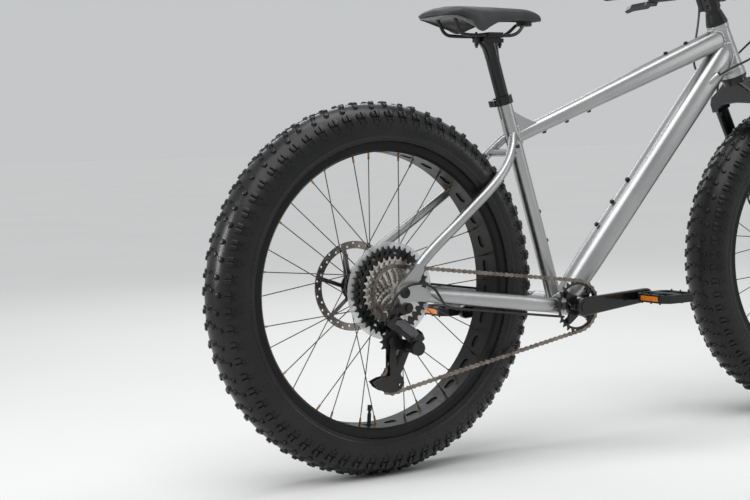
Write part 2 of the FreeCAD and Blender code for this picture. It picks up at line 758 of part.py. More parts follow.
right_dropout = dropout_plate(-DROPOUT_OUTER, -REAR_HUB_HALF)
stay_end = dropout_plate(-DROPOUT_OUTER - 20, -REAR_HUB_HALF + 20)
hanger_point = REAR + HANGER_OFFSET
hanger = capsule(REAR + V(-2, 0, -6), 12, hanger_point, 10, -DROPOUT_OUTER, -REAR_HUB_HALF)
hanger_hole = rod_y(hanger_point, -120, 0, 5.0 + RUNNING_GAP)
hanger = hanger.cut([right_dropout, rod_y(REAR, -120, 0, 17), hanger_hole])
hanger = max(hanger.Solids, key=lambda solid: solid.Volume)
right_seatstay = stay(SEATSTAY_PATH, [stay_end, seat_solid])
right_chainstay = stay(CHAINSTAY_PATH, [stay_end, shell_solid, seat_solid])
bridge_end = V(-290, -44, 621)
seatstay_solid = skin([(point, side, up, 2.2) for point, side, up in SEATSTAY_PATH])
bridge = pipe(bridge_end, V(bridge_end.x, -bridge_end.y, bridge_end.z), 8, 6)
bridge = bridge.cut([seatstay_solid, mirrored(seatstay_solid)])
bridge = max(bridge.Solids, key=lambda solid: solid.Volume)
CALIPER_ANGLE = 22.0
CALIPER_RADIUS = 84.0
caliper_centre = REAR + V(cosine(CALIPER_ANGLE), 0, sine(CALIPER_ANGLE)) * CALIPER_RADIUS
arm = capsule(REAR + V(20, 0, 18), 12, caliper_centre, 14, REAR_HUB_HALF, DROPOUT_OUTER)
left_dropout = fused([mirrored(right_dropout), arm])
left_dropout = left_dropout.cut(rod_y(REAR, 90, 120, REAR_AXLE_RADIUS + RUNNING_GAP))
left_seatstay = mirrored(right_seatstay).cut(left_dropout)
left_chainstay = mirrored(right_chainstay).cut(left_dropout)
NODES["dropouts"] = [right_dropout, left_dropout, hanger]
NODES["rear_stays"] = [right_seatstay, left_seatstay, right_chainstay, left_chainstay, bridge]


def caliper(centre, angle, rotor_y, outer):
    slot_half = ROTOR_THICKNESS / 2 + 2.2
    middle = rotor_y + ROTOR_THICKNESS / 2
    body = box(V(-16, middle - 17, -23), V(13, outer, 23))
    body = rounded(body, 6, lambda edge: abs(edge.tangentAt(edge.FirstParameter).y) > 0.9)
    body = body.cut(box(V(-40, middle - slot_half, -40), V(9, middle + slot_half, 40)))
    pads = []
    for side in (-1, 1):
        near = middle + side * (ROTOR_THICKNESS / 2 + 0.4)
        far = middle + side * slot_half
        pads.append(box(V(-14, min(near, far), -14), V(5, max(near, far), 14)))
    bolts = [rod_y(V(4, 0, z), middle - 20, middle - 17, BOLT_HEAD_RADIUS) for z in (-16, 16)]
    outward = V(cosine(angle), 0, sine(angle))
    return [placed(shape, centre, outward, Y, outward.cross(Y)) for shape in [body] + pads + bolts]


NODES["rear_caliper"] = caliper(caliper_centre, CALIPER_ANGLE, REAR_ROTOR_Y, REAR_HUB_HALF)

# Small frame hardware


def bolt_on(point, normal, tube):
    head = fused([
        rod(point - normal * 1.5, point + normal * 1.2, 5.5),
        rod(point + normal * 1.2, point + normal * (1.2 + BOLT_HEAD_HEIGHT), BOLT_HEAD_RADIUS)])
    return max(head.cut(tube).Solids, key=lambda solid: solid.CenterOfMass.dot(normal))


def surface_point(start, direction, solid):
    ray = line(start, start + direction * 200)
    crossing = solid.common(ray)
    return max((vertex.Point for vertex in crossing.Vertexes), key=lambda point: (point - start).Length)


def bolt_row(start, along, normal, count, tube):
    heads = []
    for index in range(count):
        point = surface_point(start + along * (BOSS_SPACING * index), normal, tube)
        heads.append(bolt_on(point, normal, tube))
    return heads


NODES["bottle_bolts"] = (
    bolt_row(DOWN_START + DOWN_ALONG * 186, DOWN_ALONG, DOWN_UP, 3, down_solid)
    + bolt_row(seat_point(135), SEAT_UP, SEAT_FORWARD, 2, seat_solid)
    + bolt_row(TOP_START + TOP_ALONG * 81, TOP_ALONG, TOP_UP * -1, 3, top_solid)
    + bolt_row(TOP_START + TOP_ALONG * 458, TOP_ALONG, TOP_UP, 2, top_solid))


def on_seat(shape, distance):
    return placed(shape, seat_point(distance), SEAT_FORWARD, Y, SEAT_UP)


collar_low = SEAT_TUBE_LENGTH - COLLAR_HEIGHT + 3
collar = pipe(V(0, 0, 0), V(0, 0, COLLAR_HEIGHT), COLLAR_RADIUS, SEAT_TUBE_RADIUS)
collar_top = V(0, 0, COLLAR_HEIGHT)
collar_lip = pipe(collar_top - Z * 3, collar_top, SEAT_TUBE_RADIUS + 1, POST_RADIUS + 0.2)
ears = box(V(-30, -10, 2), V(-15, 10, COLLAR_HEIGHT - 2))
ears = ears.cut(rod(V(0, 0, 0), collar_top, SEAT_TUBE_RADIUS))
collar = fused([collar, collar_lip, ears]).cut(box(V(-40, -1.5, -1), V(-8, 1.5, COLLAR_HEIGHT + 1)))
collar_bolt = fused([
    rod(V(-24.5, -10, COLLAR_HEIGHT / 2), V(-24.5, 10, COLLAR_HEIGHT / 2), 2.5),
    rod(V(-24.5, -14, COLLAR_HEIGHT / 2), V(-24.5, -10, COLLAR_HEIGHT / 2), BOLT_HEAD_RADIUS)])
collar = collar.cut(collar_bolt)
NODES["seat_collar"] = [on_seat(collar, collar_low), on_seat(collar_bolt, collar_low)]

upper_cup = turned_profile([
    (STEERER_RADIUS + RUNNING_GAP, HEAD_TOP - CUP_DEPTH), (UPPER_CUP, HEAD_TOP - CUP_DEPTH),
    (UPPER_CUP, HEAD_TOP), (24.6, HEAD_TOP), (24.6, HEAD_TOP + 5),
    (STEERER_RADIUS + RUNNING_GAP, HEAD_TOP + 5)])
lower_cup = turned_profile([
    (STEERER_BASE_RADIUS + RUNNING_GAP, HEAD_LOW - 7), (29.5, HEAD_LOW - 7), (29.5, HEAD_LOW),
    (LOWER_CUP, HEAD_LOW), (LOWER_CUP, HEAD_LOW + CUP_DEPTH),
    (STEERER_BASE_RADIUS + RUNNING_GAP, HEAD_LOW + CUP_DEPTH)])
headset_cups = [steered(upper_cup), steered(lower_cup)]
cup = fused([
    pipe_y(BRACKET, -SHELL_HALF - 8, -SHELL_HALF, 21.5, SPINDLE_RADIUS + RUNNING_GAP),
    pipe_y(BRACKET, -SHELL_HALF, -SHELL_HALF + 14, 17.4, SPINDLE_RADIUS + RUNNING_GAP)])
NODES["bearing_cups"] = headset_cups + [cup, mirrored(cup)]

# Seat post and saddle

SADDLE_BACK = -456.0
SADDLE_NOSE = -184.0
SADDLE_TOP = 906.0
RAIL_RADIUS = 3.5
RAIL_SPREAD = 22.0
RAIL_Z = 858.0
CLAMP_X = -318.0
post_tube = pipe(seat_point(POST_TOP - POST_LENGTH), seat_point(POST_TOP), POST_RADIUS, POST_RADIUS - 2.2)
neck = cone(seat_point(POST_TOP - 8), V(CLAMP_X + 1, 0, RAIL_Z - 9), POST_RADIUS + 0.8, 12)
head_block = box(V(CLAMP_X - 33, -7, RAIL_Z - 13), V(CLAMP_X + 35, 7, RAIL_Z - 4.5))
cradle = box(V(CLAMP_X - 21, -15, RAIL_Z - 14), V(CLAMP_X + 23, 15, RAIL_Z - 4))
cradle = rounded(cradle, 4, lambda edge: abs(edge.tangentAt(edge.FirstParameter).y) > 0.9)
clamp_bolts = [rod(V(x, 0, RAIL_Z - 24), V(x, 0, RAIL_Z + 8), 2.5) for x in (CLAMP_X - 28, CLAMP_X + 30)]
bolt_nuts = [rod(bolt.CenterOfMass - Z * 12, bolt.CenterOfMass - Z * 5, 4.2) for bolt in clamp_bolts]
rail_holes = [rod(V(-420, y, RAIL_Z), V(-220, y, RAIL_Z), RAIL_RADIUS) for y in (-RAIL_SPREAD, RAIL_SPREAD)]
lower_clamp = box(V(CLAMP_X - 19, -28, RAIL_Z - 4), V(CLAMP_X + 21, 28, RAIL_Z - 0.4)).cut(rail_holes)
upper_plate = box(V(CLAMP_X - 17, -28, RAIL_Z + 0.4), V(CLAMP_X + 19, 28, RAIL_Z + 6))
upper_yoke = box(V(CLAMP_X - 33, -6, RAIL_Z + 1), V(CLAMP_X + 35, 6, RAIL_Z + 5))
upper_clamp = fused([upper_plate, upper_yoke]).cut(rail_holes + clamp_bolts)
NODES["seat_post"] = [fused([post_tube, neck, head_block, cradle]).cut(clamp_bolts)]
clamp_screws = [fused([bolt, nut]) for bolt, nut in zip(clamp_bolts, bolt_nuts)]
NODES["saddle_clamp"] = [lower_clamp, upper_clamp] + clamp_screws

# Saddle sections from back to nose: x, half width, crown height, edge height, skirt depth

SADDLE_SECTIONS = [
    (SADDLE_BACK, 52, 2, -6, 17), (SADDLE_BACK + 22, 71, 9, -2, 21), (SADDLE_BACK + 60, 73, 9, -4, 25),
    (SADDLE_BACK + 100, 60, 6, -7, 36), (SADDLE_BACK + 138, 43, 4, -8, 42), (SADDLE_BACK + 165, 35, 3, -7, 32),
    (SADDLE_BACK + 190, 28, 3, -6, 24), (SADDLE_BACK + 230, 22, 2, -6, 21), (SADDLE_NOSE, 13, -7, -12, 17)]


def saddle_wire(x, half, crown, edge, depth, inset):
    top = SADDLE_TOP + crown - inset
    side = SADDLE_TOP + edge - inset * 0.5
    low = SADDLE_TOP + edge - depth
    wide = half - inset
    under = wide * 0.86
    return Part.Wire([
        line(V(x, -under, low), V(x, under, low)),
        arc(V(x, under, low), V(x, wide, (low + side) / 2), V(x, wide * 0.93, side)),
        arc(V(x, wide * 0.93, side), V(x, 0, top), V(x, -wide * 0.93, side)),
        arc(V(x, -wide * 0.93, side), V(x, -wide, (low + side) / 2), V(x, -under, low))])


def saddle_loft(inset, drop):
    wires = []
    for x, half, crown, edge, depth in SADDLE_SECTIONS:
        wires.append(saddle_wire(x, half, crown, edge, depth + drop, inset))
    return Part.makeLoft(wires, True, False)


cushion = saddle_loft(0, 0)
shell_space = moved(saddle_loft(5.0, 30), V(0, 0, -13))
cushion = cushion.cut(shell_space)
shell_skin = shell_space.cut(moved(shell_space, V(0, 0, -4)))
saddle_shell = max(shell_skin.common(saddle_loft(0, 0)).Solids, key=lambda solid: solid.Volume)
NODES["saddle_cushion"] = [max(cushion.Solids, key=lambda solid: solid.Volume)]


def rail(side):
    y = side * RAIL_SPREAD
    path = [
        V(SADDLE_BACK + 36, side * 31, RAIL_Z + 36), V(SADDLE_BACK + 52, side * 27, RAIL_Z + 2),
        V(CLAMP_X - 60, y, RAIL_Z), V(CLAMP_X + 58, y, RAIL_Z),
        V(SADDLE_NOSE - 42, side * 9, RAIL_Z + 34), V(SADDLE_NOSE - 26, side * 8, RAIL_Z + 36)]
    return hose(path, RAIL_RADIUS)


under_shell = moved(shell_space, V(0, 0, -4))
NODES["saddle_rails"] = [rail(side).common(under_shell) for side in (-1, 1)]
NODES["saddle_shell"] = [saddle_shell]

# Fork, headset and stem

CROWN_TOP = 437.0
crown_outline = [
    (0, CROWN_TOP), (26, CROWN_TOP), (50, 419), (76, 404), (85, 388), (86, 366),
    (63, 366), (58, 378), (46, 385), (0, 388)]
crown_points = crown_outline + [(-y, z) for y, z in reversed(crown_outline[1:-1])]
crown_face = Part.Face(Part.makePolygon([V(-17, y, z) for y, z in crown_points + crown_points[:1]]))
crown = crown_face.extrude(X * 42)
crown = rounded(crown, 5, lambda edge: abs(edge.tangentAt(edge.FirstParameter).x) < 0.1)
steerer = fused([
    Part.makeCylinder(27, HEAD_LOW - 7 - FACE_GAP - CROWN_TOP + 4, V(0, 0, CROWN_TOP - 4)),
    Part.makeCylinder(STEERER_BASE_RADIUS, 40, V(0, 0, CROWN_TOP - 4)),
    Part.makeCone(STEERER_BASE_RADIUS, STEERER_RADIUS, 50, V(0, 0, CROWN_TOP + 36)),
    rod(V(0, 0, CROWN_TOP + 86), V(0, 0, STEM_LOW + STEM_HEIGHT - 2), STEERER_RADIUS)])
leg_low = V(FORK_RAKE, FRONT_HUB_HALF + 8, -AXLE_DROP)
leg = skin([
    (V(4, 74, 392), 11, 17, 2.3), (V(9, 75.5, 320), 11, 17, 2.3), (V(28, 79, 140), 10, 15, 2.3),
    (leg_low + V(0, 0, 8), 8, 12, 2.3)])
foot = pipe_y(leg_low, FRONT_HUB_HALF, FRONT_OUTER, 15, FRONT_AXLE_RADIUS + RUNNING_GAP)
axle_hole = rod_y(leg_low, 0, 120, FRONT_AXLE_RADIUS + RUNNING_GAP)
hub_room = rod_y(leg_low, -FRONT_HUB_HALF, FRONT_HUB_HALF, 60)
leg = fused([leg, foot]).cut([axle_hole, hub_room])
fork = fused([crown, steerer, leg, mirrored(leg)])
fork = fork.cut(Part.makeCylinder(STEERER_RADIUS - 2.8, 300, V(0, 0, CROWN_TOP - 20)))
NODES["fork"] = [steered(fork)]

CONE_TOP = 603.0
headset_cone = turned_profile([
    (STEERER_RADIUS + RUNNING_GAP, HEAD_TOP + 5 + FACE_GAP), (24.0, HEAD_TOP + 5 + FACE_GAP),
    (23.4, HEAD_TOP + 9), (18.5, CONE_TOP), (STEERER_RADIUS + RUNNING_GAP, CONE_TOP)])
spacer = turned_profile([
    (STEERER_RADIUS + RUNNING_GAP, CONE_TOP), (17.2, CONE_TOP),
    (17.2, STEM_LOW), (STEERER_RADIUS + RUNNING_GAP, STEM_LOW)])
top_cap = fused([
    Part.makeCylinder(16.5, 4, V(0, 0, STEM_LOW + STEM_HEIGHT)),
    Part.makeCylinder(5, 3, V(0, 0, STEM_LOW + STEM_HEIGHT + 4))])
NODES["headset_spacers"] = [steered(shape) for shape in (headset_cone, spacer, top_cap)]

BAR_HEIGHT = STEM_LOW + 25.0
bar_local = V(STEM_REACH, 0, BAR_HEIGHT)
clamp_tube = Part.makeCylinder(19.5, STEM_HEIGHT, V(0, 0, STEM_LOW))
pinch = box(V(-27, -13, STEM_LOW + 3), V(-8, 13, STEM_LOW + STEM_HEIGHT - 3))
extension = skin([
    (V(2, 0, STEM_LOW + 20), 15, 17, 3.0), (V(30, 0, STEM_LOW + 22), 15, 15, 3.0),
    (bar_local, 22, 17, 3.0)])
bar_ring = rod_y(bar_local, -STEM_HALF_WIDTH, STEM_HALF_WIDTH, 22)
face_ears = []
face_bolts = []
for y in (-18.5, 18.5):
    for z in (BAR_HEIGHT - 22, BAR_HEIGHT + 22):
        face_ears.append(box(V(STEM_REACH - 8, y - 5.5, z - 5.5), V(STEM_REACH + 12, y + 5.5, z + 5.5)))
        face_bolts.append(fused([
            rod(V(STEM_REACH - 12, y, z), V(STEM_REACH + 12, y, z), 2.0),
            rod(V(STEM_REACH + 12, y, z), V(STEM_REACH + 16, y, z), 4.0)]))
pinch_bolts = []
for z in (STEM_LOW + 11, STEM_LOW + STEM_HEIGHT - 11):
    pinch_bolts.append(fused([
        rod(V(-21.5, -13, z), V(-21.5, 13, z), 2.5), rod(V(-21.5, -17, z), V(-21.5, -13, z), 4.2)]))
stem_whole = fused([clamp_tube, pinch, extension, bar_ring] + face_ears)
stem_bores = [
    rod(V(0, 0, STEM_LOW - 20), V(0, 0, STEM_LOW + 80), STEERER_RADIUS + RUNNING_GAP),
    rod_y(bar_local, -40, 40, BAR_CENTRE_RADIUS + RUNNING_GAP),
    box(V(-40, -1.2, STEM_LOW - 1), V(-10, 1.2, STEM_LOW + 60))]
stem_whole = stem_whole.cut(stem_bores)
front_side = box(V(STEM_REACH + 1, -60, STEM_LOW - 40), V(STEM_REACH + 60, 60, STEM_LOW + 90))
back_side = box(V(-60, -60, STEM_LOW - 40), V(STEM_REACH - 0.5, 60, STEM_LOW + 90))
stem_body = stem_whole.common(back_side).cut(face_bolts + pinch_bolts)
face_plate = stem_whole.common(front_side).cut(face_bolts)
stem_body = max(stem_body.Solids, key=lambda solid: solid.Volume)
NODES["stem"] = [steered(shape) for shape in [stem_body, face_plate] + face_bolts + pinch_bolts]

# Handlebar, grips and controls

BAR_CENTRE = steer_point(STEM_REACH, 0, BAR_HEIGHT)
BEND_START = 60.0
BEND_END = 200.0


def bar_offset(y):
    share = min(max((y - BEND_START) / (BEND_END - BEND_START), 0.0), 1.0)
    slope = math.tan(math.radians(BAR_SWEEP))
    swept = slope * (BEND_END - BEND_START) * share * share / 2 + slope * max(y - BEND_END, 0.0)
    rise = BAR_RISE * share * share * (3 - 2 * share)
    return V(-swept, y, rise)


def bar_radius(y):
    share = min(max((y - BULGE_HALF) / 50.0, 0.0), 1.0)
    start = BULGE_RADIUS - 0.6
    end = BAR_END_RADIUS - 0.15
    return start + (end - start) * share * share * (3 - 2 * share)


bar_knee = BAR_CENTRE + bar_offset(BEND_END)
bar_tip = BAR_CENTRE + bar_offset(BAR_HALF_WIDTH)
BAR_OUT = unit(bar_tip - bar_knee)
bar_stations = []
for index in range(14):
    y = BULGE_HALF - 6 + (BEND_END + 12 - BULGE_HALF) * index / 13.0
    radius = bar_radius(y)
    bar_stations.append((BAR_CENTRE + bar_offset(y), radius, radius, 2.0))


def bar_form(inset, end):
    side = skin(bar_stations, inset)
    straight = rod(bar_knee, bar_tip + BAR_OUT * end, BAR_END_RADIUS - inset)
    bulge = rod_y(BAR_CENTRE, -BULGE_HALF, BULGE_HALF, BULGE_RADIUS - inset)
    return fused([bulge, side, mirrored(side), straight, mirrored(straight)])


clamp_zone = rod_y(BAR_CENTRE, -STEM_HALF_WIDTH, STEM_HALF_WIDTH, BAR_CENTRE_RADIUS)
NODES["handlebar"] = [fused([bar_form(0, 0), clamp_zone]).cut(bar_form(TUBE_WALL, 1))]

grip_start = bar_tip - BAR_OUT * GRIP_LENGTH
BORE = BAR_END_RADIUS + RUNNING_GAP
grip = fused([
    pipe(grip_start + BAR_OUT * 9, bar_tip - BAR_OUT * 2, GRIP_RADIUS, BORE),
    pipe(grip_start + BAR_OUT * 9, grip_start + BAR_OUT * 14, GRIP_RADIUS + 3.0, BORE)])
lock_ring = pipe(grip_start, grip_start + BAR_OUT * 9, GRIP_RADIUS + 1.5, BORE)
NODES["grips"] = [grip, lock_ring, mirrored(grip), mirrored(lock_ring)]

LEVER_DROP = 35.0
bar_forward = unit(X - BAR_OUT * BAR_OUT.dot(X))
bar_down = BAR_OUT.cross(bar_forward)
LEVER_REACH = bar_forward * cosine(LEVER_DROP) + bar_down * sine(LEVER_DROP)
LEVER_NORMAL = BAR_OUT.cross(LEVER_REACH)
CONTROL_ORIGIN = grip_start - BAR_OUT * 1.0
LEVER_PIVOT = V(14, 44, 0)
SHIFT_PIVOT = V(-44, 12, 0)


def on_bar(shape):
    return placed(shape, CONTROL_ORIGIN, BAR_OUT, LEVER_REACH, LEVER_NORMAL)


def flat_link(first, first_radius, second, second_radius, low, high):
    first = V(first.x, 0, first.y)
    second = V(second.x, 0, second.y)
    shape = capsule(first, first_radius, second, second_radius, -high, -low)
    return turned(shape, V(0, 0, 0), X, -90)


clamp_band = rod(V(-22, 0, 0), V(-10, 0, 0), BAR_END_RADIUS + 5)
bridge_block = box(V(-24, 8, -8), V(-8, 34, 8))
master = fused([rod(V(-62, 36, 0), V(12, 36, 0), 9), rod(V(-70, 36, 0), V(-62, 36, 0), 5)])
tank = rounded(box(V(-54, 30, -14), V(-6, 46, -4)), 4, lambda edge: True)
yoke = box(V(-2, 36, -11), V(20, 50, 11))
brake_body = fused([clamp_band, bridge_block, master, tank, yoke])
lever_space = box(V(-1, 35.0, -LINK_HALF - FACE_GAP), V(40, 80, LINK_HALF + FACE_GAP))
lever_pin = rod(V(LEVER_PIVOT.x, LEVER_PIVOT.y, -11), V(LEVER_PIVOT.x, LEVER_PIVOT.y, 11), 2.5)
brake_body = brake_body.cut([
    rod(V(-80, 0, 0), V(40, 0, 0), BORE), lever_space,
    rod(V(LEVER_PIVOT.x, LEVER_PIVOT.y, -20), V(LEVER_PIVOT.x, LEVER_PIVOT.y, 20), 2.5 + RUNNING_GAP)])
brake_body = max(brake_body.Solids, key=lambda solid: solid.Volume)
blade = fused([
    flat_link(LEVER_PIVOT, 6, V(36, 56, 0), 6.5, -LINK_HALF, LINK_HALF),
    flat_link(V(36, 56, 0), 6.5, V(84, 60, 0), 6.0, -LINK_HALF, LINK_HALF),
    flat_link(V(84, 60, 0), 6.0, V(104, 67, 0), 5.0, -LINK_HALF, LINK_HALF), lever_pin])
left_body = on_bar(brake_body)
left_blade = on_bar(blade)
shift_box = rounded(box(V(-66, -8, 17), V(-26, 30, 33)), 5, lambda edge: True)
shift_band = rod(V(-44, 0, 0), V(-34, 0, 0), BAR_END_RADIUS + 4)
shift_neck = box(V(-45, -6, 8), V(-33, 10, 20))
shift_body = fused([shift_box, shift_band, shift_neck]).cut(rod(V(-80, 0, 0), V(40, 0, 0), BORE))
shift_pin = rod(V(SHIFT_PIVOT.x, SHIFT_PIVOT.y, 33), V(SHIFT_PIVOT.x, SHIFT_PIVOT.y, 44), 3)
shift_body = fused([shift_body, shift_pin])
shift_hole = rod(V(SHIFT_PIVOT.x, SHIFT_PIVOT.y, 30), V(SHIFT_PIVOT.x, SHIFT_PIVOT.y, 50), 3 + RUNNING_GAP)
thumb = fused([
    flat_link(SHIFT_PIVOT, 8, V(-18, -10, 0), 6, 33 + FACE_GAP, 37),
    flat_link(V(-22, -8, 0), 7, V(-8, -12, 0), 8, 33 + FACE_GAP, 37)]).cut(shift_hole)
release = fused([
    flat_link(SHIFT_PIVOT, 7, V(-20, 12, 0), 5, 37 + FACE_GAP, 40),
    flat_link(V(-22, 12, 0), 6, V(-12, 10, 0), 7, 37 + FACE_GAP, 40)]).cut(shift_hole)
NODES["control_bodies"] = [left_body, mirrored(left_body), mirrored(on_bar(shift_body))]
NODES["brake_lever_left"] = [left_blade]
NODES["brake_lever_right"] = [mirrored(left_blade)]
NODES["shift_lever"] = [mirrored(on_bar(thumb))]
NODES["release_lever"] = [mirrored(on_bar(release))]

# Front brake

front_angle = HEAD_ANGLE + 83.0
front_caliper_centre = FRONT + V(cosine(front_angle), 0, sine(front_angle)) * CALIPER_RADIUS
front_parts = caliper(front_caliper_centre, front_angle, FRONT_ROTOR_Y, FRONT_HUB_HALF)
leg_bracket = capsule(
    front_caliper_centre, 12, FRONT + STEER_UP * 70, 12, FRONT_HUB_HALF, FRONT_HUB_HALF + 8)
leg_bracket = leg_bracket.cut(NODES["fork"])
front_parts.append(max(leg_bracket.Solids, key=lambda solid: solid.Volume))
NODES["front_caliper"] = front_parts

# Cassette, cranks and pedals

FREEHUB_END = -97.2
cogs = []
for index, teeth in enumerate(COG_TEETH):
    y = CHAIN_Y + COG_PITCH * (index - COG_TEETH.index(CHAIN_COG))
    phase = phase_at(REAR) if teeth == CHAIN_COG else 7.0 * index
    cog = sprocket(teeth, phase, y - COG_HALF, y + COG_HALF, FREEHUB_RADIUS + RUNNING_GAP)
    if teeth >= 28:
        window = pitch_radius(teeth) - 17
        port = rod_y(V(window, 0, 0), y - 2, y + 2, 7.0)
        cog = cog.cut([turned(port, V(0, 0, 0), Y, 40 * step) for step in range(9)])
    cogs.append(cog)
    if index:
        low = y - COG_PITCH + COG_HALF
        high = y - COG_HALF
        cogs.append(pipe_y(V(0, 0, 0), low, high, FREEHUB_RADIUS + 3.5, FREEHUB_RADIUS + RUNNING_GAP))
freehub = pipe_y(V(0, 0, 0), FREEHUB_END + 1.6, -49.2, FREEHUB_RADIUS, SLEEVE_REAR + RUNNING_GAP)
lock_nut = pipe_y(
    V(0, 0, 0), FREEHUB_END, FREEHUB_END + 1.6, FREEHUB_RADIUS + 1.5, SLEEVE_REAR + RUNNING_GAP)
NODES["cassette"] = [moved(shape, REAR) for shape in cogs + [freehub, lock_nut]]

CRANK_OUTER = CRANK_INNER + CRANK_WIDTH
CRANK_EYE = BRACKET + V(cosine(CRANK_TILT), 0, sine(CRANK_TILT)) * CRANK_LENGTH
LEFT_EYE = BRACKET * 2 - CRANK_EYE
EYE_HOLE = 7.2
bolt_radius = CHAINRING_BOLT_CIRCLE / 2
ring_low = CHAIN_Y - 1.1
ring_high = CHAIN_Y + 1.1


def crank_blade(eye, low, high):
    blade = capsule(BRACKET, 19, eye, 14, low, high)
    return rounded(blade, 3.5, lambda edge: abs(edge.tangentAt(edge.FirstParameter).y) < 0.1)


arms = []
for index in range(4):
    angle = 45 + 90 * index + CRANK_TILT
    tab = BRACKET + V(cosine(angle), 0, sine(angle)) * bolt_radius
    arms.append(capsule(BRACKET, 15, tab, 6.5, -77.5, ring_low - 0.05))
right_arm = fused([
    crank_blade(CRANK_EYE, -CRANK_OUTER, -CRANK_INNER), rod_y(BRACKET, -90, ring_low - 0.05, 20),
    rod_y(BRACKET, -90, CRANK_INNER, SPINDLE_RADIUS),
    rod_y(BRACKET, -CRANK_OUTER - 1.5, -CRANK_OUTER, 11)] + arms)
eye_cut = rod_y(CRANK_EYE, -120, -60, EYE_HOLE)
ring_bolts = []
for index in range(4):
    angle = 45 + 90 * index + CRANK_TILT
    tab = BRACKET + V(cosine(angle), 0, sine(angle)) * bolt_radius
    ring_bolts.append(fused([
        rod_y(tab, -79.5, -77.5, 5), rod_y(tab, -77.5, ring_high, 4),
        rod_y(tab, ring_high, ring_high + 1.2, 5)]))
NODES["crank_arm_right"] = [right_arm.cut([eye_cut] + ring_bolts)]
left_arm = fused([
    crank_blade(LEFT_EYE, CRANK_INNER, CRANK_OUTER), rod_y(BRACKET, 69, CRANK_INNER + 2, 19)])
left_arm = left_arm.cut([
    rod_y(LEFT_EYE, 60, 120, EYE_HOLE), rod_y(BRACKET, 60, CRANK_INNER, SPINDLE_RADIUS + 0.02)])
NODES["crank_arm_left"] = [left_arm]
ring = sprocket(CHAINRING_TEETH, phase_at(BRACKET), ring_low, ring_high, 44.0)
ring = moved(ring, V(BRACKET.x, 0, BRACKET.z))
tabs = []
for index in range(4):
    angle = 45 + 90 * index + CRANK_TILT
    outward = V(cosine(angle), 0, sine(angle))
    tab = BRACKET + outward * bolt_radius
    tabs.append(capsule(tab, 7.5, BRACKET + outward * 46.5, 9, ring_low, ring_high))
outer_limit = rod_y(BRACKET, ring_low, ring_high, 48)
ring = fused([ring] + [tab.common(outer_limit) for tab in tabs]).cut(ring_bolts)
NODES["chainring"] = [ring] + ring_bolts

AXLE_END = CRANK_OUTER + 98.0


def pedal_axle(eye):
    return fused([
        rod_y(eye, -CRANK_OUTER, -CRANK_INNER, EYE_HOLE - 0.02),
        rod_y(eye, -CRANK_OUTER - 4, -CRANK_OUTER, 9.5),
        rod_y(eye, -AXLE_END, -CRANK_OUTER - 4, PEDAL_AXLE_RADIUS)])


NODES["pedal_axles"] = [pedal_axle(CRANK_EYE), mirrored(pedal_axle(LEFT_EYE))]


def pedal(eye):
    inner = -CRANK_OUTER - 6
    outer = -AXLE_END - 5
    half = PEDAL_LENGTH / 2
    tall = PEDAL_HEIGHT / 2
    outline = [
        (-half, inner - 16), (-half + 14, inner), (half - 14, inner), (half, inner - 16),
        (half, outer + 16), (half - 14, outer), (-half + 14, outer), (-half, outer + 16)]
    corners = [V(x, y, -tall) for x, y in outline]
    plate = Part.Face(Part.makePolygon(corners + corners[:1])).extrude(Z * PEDAL_HEIGHT)
    middle = (inner + outer) / 2
    windows = []
    for x in (-24, 24):
        for y in (middle - 22, middle + 22):
            windows.append(box(V(x - 13.5, y - 18, -tall - 1), V(x + 13.5, y + 18, tall + 1)))
    for x in (-half, half):
        windows.append(box(V(x - 3, middle - 26, -5.5), V(x + 3, middle + 26, 5.5)))
    body = plate.cut(windows)
    barrel = rod(V(0, inner, 0), V(0, outer, 0), tall + 1)
    bore = rod(V(0, 0, 0), V(0, -AXLE_END - 1, 0), PEDAL_AXLE_RADIUS + RUNNING_GAP)
    body = fused([body, barrel]).cut(bore)
    pins = []
    for x in (-half + 5, half - 5):
        for y in (inner - 22, middle, outer + 22):
            pins.append(rod(V(x, y, -tall - 3), V(x, y, tall + 3), 1.8))
    body = fused([body] + pins)
    lamps = []
    for x in (-half, half - 3):
        lamps.append(box(V(x, middle - 25.5, -5), V(x + 3, middle + 25.5, 5)))
    return [moved(shape, V(eye.x, 0, eye.z)) for shape in [body] + lamps]


NODES["pedal_right"] = pedal(CRANK_EYE)
NODES["pedal_left"] = [mirrored(shape) for shape in pedal(LEFT_EYE)]

# Chain and rear derailleur

NODES["chain"] = chain(PINS)
SLANT = V(0, 1, -2)
LINK_ALONG = V(0.8, 0, -0.6)
LINK_AXIS = unit(LINK_ALONG.cross(SLANT))
LINK_ACROSS = LINK_AXIS.cross(LINK_ALONG)
BASE_PIN = REAR + BASE_PIN_OFFSET + Y * DERAILLEUR_Y
CAGE_PIVOT = REAR + CAGE_PIVOT_OFFSET
PIN_RADIUS = 2.2
EAR_OUTER = 9.5


def on_links(shape):
    return placed(shape, BASE_PIN, LINK_ALONG, LINK_ACROSS, LINK_AXIS)


def parallel_link(across):
    ends = [V(0, across, 0), V(LINK_LENGTH, across, 0)]
    link = flat_link(ends[0], LINK_RADIUS, ends[1], LINK_RADIUS, -LINK_HALF, LINK_HALF)
    pins = [rod(end - Z * EAR_OUTER, end + Z * EAR_OUTER, PIN_RADIUS) for end in ends]
    return fused([link] + pins)


